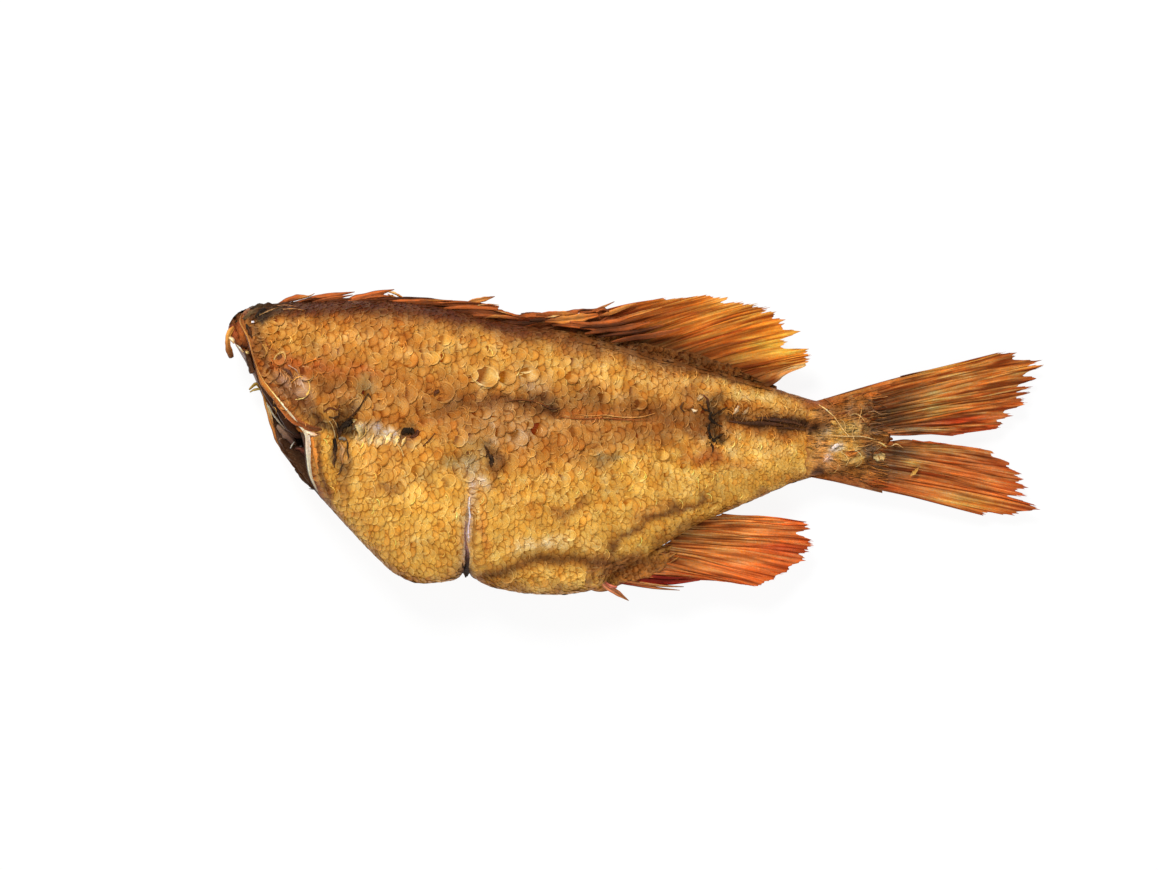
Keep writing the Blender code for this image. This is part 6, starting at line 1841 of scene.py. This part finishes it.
# The wrist's skin is drawn out into fibres that fan towards the tail.
for _ in range(FIBRES):
    x, share, long = draw.uniform(20.8, 30.4), draw.uniform(0.05, 0.95), draw.uniform(0.6, 2.6)
    low, high = np.interp(x, *zip(*WRIST_LOW)), np.interp(x, *zip(*WRIST_HIGH))
    y = low + (high - low) * share
    angle, wiggle = 0.42 * (share - 0.5) + draw.normal(0, 0.16), draw.uniform(-0.25, 0.25)
    step = np.linspace(0, 1, 7)
    line_x = x + long * np.cos(angle) * step
    line_y = y + long * np.sin(angle) * step + wiggle * np.sin(math.pi * step)
    kept = line_x < 31.2
    if kept.sum() < 4:
        continue
    height = flank_height(line_x, line_y, 1.0) + 0.29
    lit = draw.choice([0.62, 0.76, 1.14, 1.26])
    colour = linear(np.clip(paint(line_x, line_y, 1) * lit, 0, 1))
    taper = draw.uniform(0.03, 0.055) * (0.3 + 0.7 * np.sin(math.pi * np.linspace(0.05, 0.95, 7)))
    rims.append((np.stack([line_x, line_y, height], axis=-1)[kept], taper[kept], colour[kept],
                 np.zeros((kept.sum(), 3))))
scale_rims = swept_lines("scale_rims", rims, sides=5, finish=skin_material)
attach(scale_rims, "root")

# ---------------------------------------------------------------------------------------------
# The cut behind the head: the shoulder bone's cream edge, dark dried flesh and torn membranes in
# the gullet, the slab of nape meat with its hanging flap, and a splinter of gill bone.
# ---------------------------------------------------------------------------------------------
gloss_material, tree, shader = new_material("dried_gloss", 0.28, 0.26)
stain = attribute(tree, "stain")
colour, height, place = mottled(tree, stain, 0.0016, 0.6)
tree.links.new(colour, shader.inputs["Base Color"])
bump(tree, shader, height, 0.0002)


def on_rim(first, last, side, steps, inset=0.0, lift=0.0):
    """Places along the edge of the cut, moved into the body and up."""
    edge = rim_points(np.linspace(first, last, steps), np.full(steps, float(side)))
    return (edge + np.array([inset, 0, lift])).tolist()


def inside(points):
    """Places in the hollow of the cut: x, y and the share of the way up from the far flank."""
    found = []
    for x, y, share in points:
        low, high = (float(flank_height(np.array(x), np.array(y), flank)) for flank in (-1.0, 1.0))
        found.append((x, y, low + (high - low) * share))
    return found


GOLD_CREAM, BONE, PINK_BONE = (222, 166, 92), (240, 224, 190), (232, 200, 172)
cut_blades = [
    # the shoulder's edge, from the nape to the throat
    (on_rim(0.20, 0.55, 1, 9, 0.05, -0.02), (0.05, 0.09, 0.12, 0.18), (0.2, 0.25, 0.25),
     ((120, 72, 36), (170, 112, 52), GOLD_CREAM, BONE), 41),
    (on_rim(0.52, 0.985, 1, 12, 0.10, -0.05), (0.16, 0.20, 0.30, 0.44, 0.36, 0.28, 0.20, 0.06), (0.25, 0.3, 0.3, 0.2),
     (GOLD_CREAM, BONE, BONE, PINK_BONE, BONE, BONE, (226, 208, 172), (180, 130, 80)), 42),
    (over(((-39.9, 1.9), (-38.9, 1.5), (-38.0, 1.4)), 1, 0.0), (0.3, 0.5, 0.1), (0.1, 0.12, 0.04),
     (PINK_BONE, (226, 180, 150), (196, 130, 80)), 43),
    # the shoulder's brown outer band
    (over(((-45.8, 9.6), (-44.9, 7.5), (-43.0, 5.2), (-41.3, 3.6)), 1, -0.02), (0.10, 0.35, 0.42, 0.2),
     (0.1, 0.16, 0.16, 0.08), ((176, 104, 42), (190, 114, 46), (168, 92, 36), (130, 68, 30)), 44),
    (over(((-43.2, 4.9), (-41.3, 3.2), (-39.4, 2.2), (-37.8, 1.9)), 1, 0.05), (0.2, 0.50, 0.55, 0.15),
     (0.1, 0.18, 0.18, 0.08), ((170, 96, 38), (160, 84, 34), (126, 64, 28), (92, 46, 22)), 45),
    (over(((-39.0, 0.9), (-38.5, -1.2), (-38.3, -3.4)), 1, 0.0), (0.25, 0.42, 0.15), (0.1, 0.14, 0.06),
     ((196, 116, 46), (204, 126, 52), (184, 110, 46)), 46),
    # the nape's golden seam, slab and flap
    (on_rim(0.03, 0.30, 1, 8, -0.02, 0.05), (0.05, 0.11, 0.09, 0.06), (0.1, 0.14, 0.12),
     ((130, 84, 42), (196, 134, 62), (184, 120, 54), (140, 84, 40)), 51),
    (inside(((-48.3, 15.0, 0.45), (-48.0, 13.6, 0.45), (-47.3, 12.0, 0.42))), (0.5, 0.75, 0.4), (0.35, 0.45, 0.25),
     ((116, 54, 26), (166, 90, 38), (104, 54, 28)), 52),
    (inside(((-49.2, 14.6, 0.5), (-48.9, 13.4, 0.5), (-48.2, 12.2, 0.45))), (0.35, 0.6, 0.35), (0.3, 0.4, 0.25),
     ((110, 44, 28), (150, 74, 36), (150, 88, 46)), 53),
    (((-49.1, 14.9, 5.2), (-48.7, 13.9, 5.3), (-48.2, 13.0, 5.2), (-47.6, 12.0, 5.0)), (0.30, 0.62, 0.62, 0.20),
     (0.3, 0.4, 0.4, 0.2), ((104, 52, 22), (150, 76, 28), (134, 66, 26), (90, 46, 22)), 55),
    (((-48.9, 14.4, 5.9), (-49.4, 13.7, 6.2), (-49.6, 12.8, 6.3), (-49.55, 11.9, 6.1), (-49.35, 11.2, 5.9),
      (-49.2, 10.7, 5.7)), (0.24, 0.34, 0.33, 0.34, 0.40, 0.34), (0.24, 0.24, 0.24, 0.28, 0.32, 0.28),
      ((176, 106, 44), (206, 140, 62), (200, 134, 60), (170, 104, 46), (126, 74, 34), (92, 52, 26)), 54),
    (((-49.4, 13.1, 6.4), (-49.0, 12.8, 6.6), (-48.8, 12.4, 6.5)), (0.18, 0.32, 0.14), (0.14, 0.2, 0.1),
     ((214, 168, 110), (232, 200, 156), (206, 150, 96)), 55),
    (((-48.5, 12.2, 6.3), (-48.1, 11.8, 6.4), (-47.7, 11.3, 6.3)), (0.06, 0.10, 0.05), (0.06, 0.10, 0.05),
     (BONE, BONE, GOLD_CREAM), 56),
    (((-47.35, 11.4, 6.5), (-47.2, 11.3, 6.6), (-47.0, 11.2, 6.5)), (0.12, 0.20, 0.10), (0.12, 0.16, 0.08),
     (GOLD_CREAM, (236, 190, 120), GOLD_CREAM), 57),
    (inside(((-47.4, 11.6, 0.5), (-47.0, 10.2, 0.5), (-46.6, 8.8, 0.5))), (0.35, 0.45, 0.35), (0.3, 0.4, 0.3),
     ((96, 56, 32), (66, 40, 26), (84, 50, 30)), 58),
    # the brown inner wall beside the shoulder's edge
    (inside(((-46.1, 9.2, 0.62), (-45.2, 7.5, 0.66), (-44.1, 5.9, 0.70), (-42.9, 4.2, 0.74), (-41.9, 2.7, 0.76),
             (-41.0, 1.5, 0.74))), (0.25, 0.50, 0.65, 0.80, 0.85, 0.45), (0.2, 0.3, 0.35, 0.3),
             ((76, 40, 20), (92, 50, 24), (78, 42, 22), (68, 36, 20), (74, 38, 22), (58, 30, 18)), 61),
    (inside(((-45.3, 8.0, 0.80), (-43.9, 6.1, 0.82), (-42.2, 4.0, 0.84), (-40.8, 2.1, 0.84))),
     (0.10, 0.28, 0.34, 0.15), (0.15, 0.2, 0.2, 0.1), ((110, 64, 34), (74, 44, 28), (62, 38, 26), (84, 46, 30)), 62),
    # the far edge of the cut
    (inside(((-45.6, 6.6, 0.20), (-45.1, 4.9, 0.16), (-44.5, 3.0, 0.13), (-43.7, 1.1, 0.12), (-42.7, -0.7, 0.12),
             (-41.6, -2.4, 0.14))), (0.10, 0.30, 0.42, 0.46, 0.40, 0.15), (0.2, 0.25, 0.25, 0.2),
             ((150, 96, 46), (196, 132, 60), (176, 110, 50), (150, 90, 42), (166, 104, 50), (96, 58, 32)), 63),
    (inside(((-45.0, 5.2, 0.34), (-44.6, 4.0, 0.32), (-44.2, 2.6, 0.30))), (0.05, 0.22, 0.06), (0.08, 0.12, 0.06),
     (BONE, (214, 170, 110), (170, 110, 60)), 64),
    # torn membranes across the hollow, two of them near-white painted glints
    (inside(((-44.7, 4.8, 0.42), (-44.0, 3.6, 0.46), (-42.7, 2.0, 0.50))), (0.05, 0.11, 0.05), (0.06, 0.1, 0.05),
     (BONE, (226, 206, 178), (190, 160, 130)), 65),
    (inside(((-43.6, 2.4, 0.36), (-42.4, 1.2, 0.42), (-41.4, 0.0, 0.44))), (0.30, 0.60, 0.25), (0.06, 0.09, 0.05),
     ((150, 118, 96), (132, 100, 82), (110, 72, 58)), 66),
    (inside(((-42.6, 2.2, 0.50), (-41.6, 1.4, 0.52), (-40.4, 0.9, 0.52))), (0.15, 0.40, 0.20), (0.06, 0.09, 0.05),
     ((120, 82, 66), (104, 66, 52), (84, 46, 36)), 67),
    (inside(((-43.4, 0.8, 0.34), (-42.4, -0.1, 0.38), (-41.4, -0.5, 0.40))), (0.15, 0.40, 0.12), (0.06, 0.09, 0.05),
     ((146, 112, 90), (120, 88, 72), (96, 60, 46)), 68),
    # two painted glints on the membranes, near white
    (inside(((-42.1, -0.6, 0.50), (-41.8, 0.0, 0.53), (-41.5, 0.4, 0.55))), (0.04, 0.08, 0.04), (0.05, 0.07, 0.04),
     (BONE, (244, 236, 226), BONE), 69),
    (inside(((-41.4, -0.7, 0.50), (-41.0, -0.3, 0.53), (-40.6, -0.1, 0.54))), (0.04, 0.07, 0.04), (0.05, 0.07, 0.04),
     (BONE, (236, 222, 206), BONE), 70),
    (inside(((-42.0, -1.1, 0.46), (-41.6, -1.0, 0.48), (-41.2, -1.2, 0.48))), (0.06, 0.12, 0.05), (0.06, 0.1, 0.05),
     ((196, 132, 70), (226, 170, 96), (180, 112, 60)), 71),
    (inside(((-41.3, -0.4, 0.56), (-40.6, -0.5, 0.60), (-40.0, -1.0, 0.60), (-39.9, -1.9, 0.56))),
     (0.20, 0.36, 0.36, 0.15), (0.2, 0.26, 0.26, 0.1), ((70, 38, 30), (112, 58, 42), (96, 48, 36), (64, 34, 28)), 72),
    (inside(((-41.4, -2.9, 0.30), (-40.4, -4.0, 0.34), (-39.3, -5.2, 0.40))), (0.15, 0.35, 0.15), (0.15, 0.2, 0.1),
     ((62, 38, 28), (70, 42, 30), (52, 32, 26)), 73),
    # a splinter of gill bone, forked, and a charred spike at the throat
    (((-44.2, 6.2, 1.7), (-46.0, 7.2, 2.0), (-46.5, 7.5, 2.1), (-47.3, 6.8, 2.2)), (0.26, 0.30, 0.24, 0.10),
     (0.2, 0.2, 0.14, 0.06), ((150, 110, 50), (206, 170, 84), (190, 150, 66), (150, 120, 50)), 74),
    (((-44.0, 5.8, 1.7), (-45.6, 6.8, 2.0), (-46.6, 6.8, 2.2), (-47.2, 6.5, 2.3)), (0.20, 0.28, 0.20, 0.08),
     (0.16, 0.16, 0.12, 0.06), ((150, 110, 50), (186, 146, 70), (206, 176, 96), (160, 130, 60)), 75),
    (over(((-38.4, -5.5), (-39.0, -5.4), (-39.7, -5.3)), -1, 0.6), (0.16, 0.12, 0.03), (0.1, 0.08, 0.02),
     ((46, 34, 28), (40, 30, 26), (34, 26, 24)), 76),
]
cut_detail = blades_piece("cut_detail", cut_blades, gloss_material, ragged=0.16)
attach(cut_detail, "root")

# ---------------------------------------------------------------------------------------------
# The floor, the lights and the camera: a white sheet, a soft key light from the back's side and
# an even white surround. The camera looks straight down.
# ---------------------------------------------------------------------------------------------
floor_mesh = bpy.data.meshes.new("floor")
floor_mesh.from_pydata([(-3, -3, 0), (3, -3, 0), (3, 3, 0), (-3, 3, 0)], [], [(0, 1, 2, 3)])
floor = bpy.data.objects.new("floor", floor_mesh)
bpy.context.scene.collection.objects.link(floor)
floor_material, tree, shader = new_material("white_sheet", 0.9, 0.0)
shader.inputs["Base Color"].default_value = (0.10, 0.10, 0.10, 1)
shader.inputs["Emission Color"].default_value = (1, 1, 1, 1)
shader.inputs["Emission Strength"].default_value = 0.90
floor.data.materials.append(floor_material)

world = bpy.data.worlds.new("surround")
bpy.context.scene.world = world
world.use_nodes = True
world.node_tree.nodes["Background"].inputs["Color"].default_value = (1, 1, 1, 1)
world.node_tree.nodes["Background"].inputs["Strength"].default_value = 0.36


def area_light(name, place, size, power):
    data = bpy.data.lights.new(name, "AREA")
    data.shape = "DISK"
    data.size = size
    data.energy = power
    light = bpy.data.objects.new(name, data)
    bpy.context.scene.collection.objects.link(light)
    light.location = place
    light.rotation_euler = (-light.location).to_track_quat("-Z", "Y").to_euler()


area_light("key", (-0.30, 0.72, 0.80), 0.50, 14.0)
area_light("fill", (0.35, -0.75, 0.70), 0.80, 5.5)

camera_data = bpy.data.cameras.new("camera")
camera = bpy.data.objects.new("camera", camera_data)
bpy.context.scene.collection.objects.link(camera)
FRAME_WIDTH, CAMERA_HEIGHT, SENSOR_WIDTH, FISH_HEIGHT = 0.4237, 1.6, 36.0, 0.018
camera_data.sensor_width = SENSOR_WIDTH
camera_data.lens = SENSOR_WIDTH * (CAMERA_HEIGHT - FISH_HEIGHT) / FRAME_WIDTH
camera.location = (-0.0205, 0.0037, CAMERA_HEIGHT)
camera.rotation_euler = (0, 0, 0)
bpy.context.scene.camera = camera
bpy.context.scene.view_settings.view_transform = "Standard"
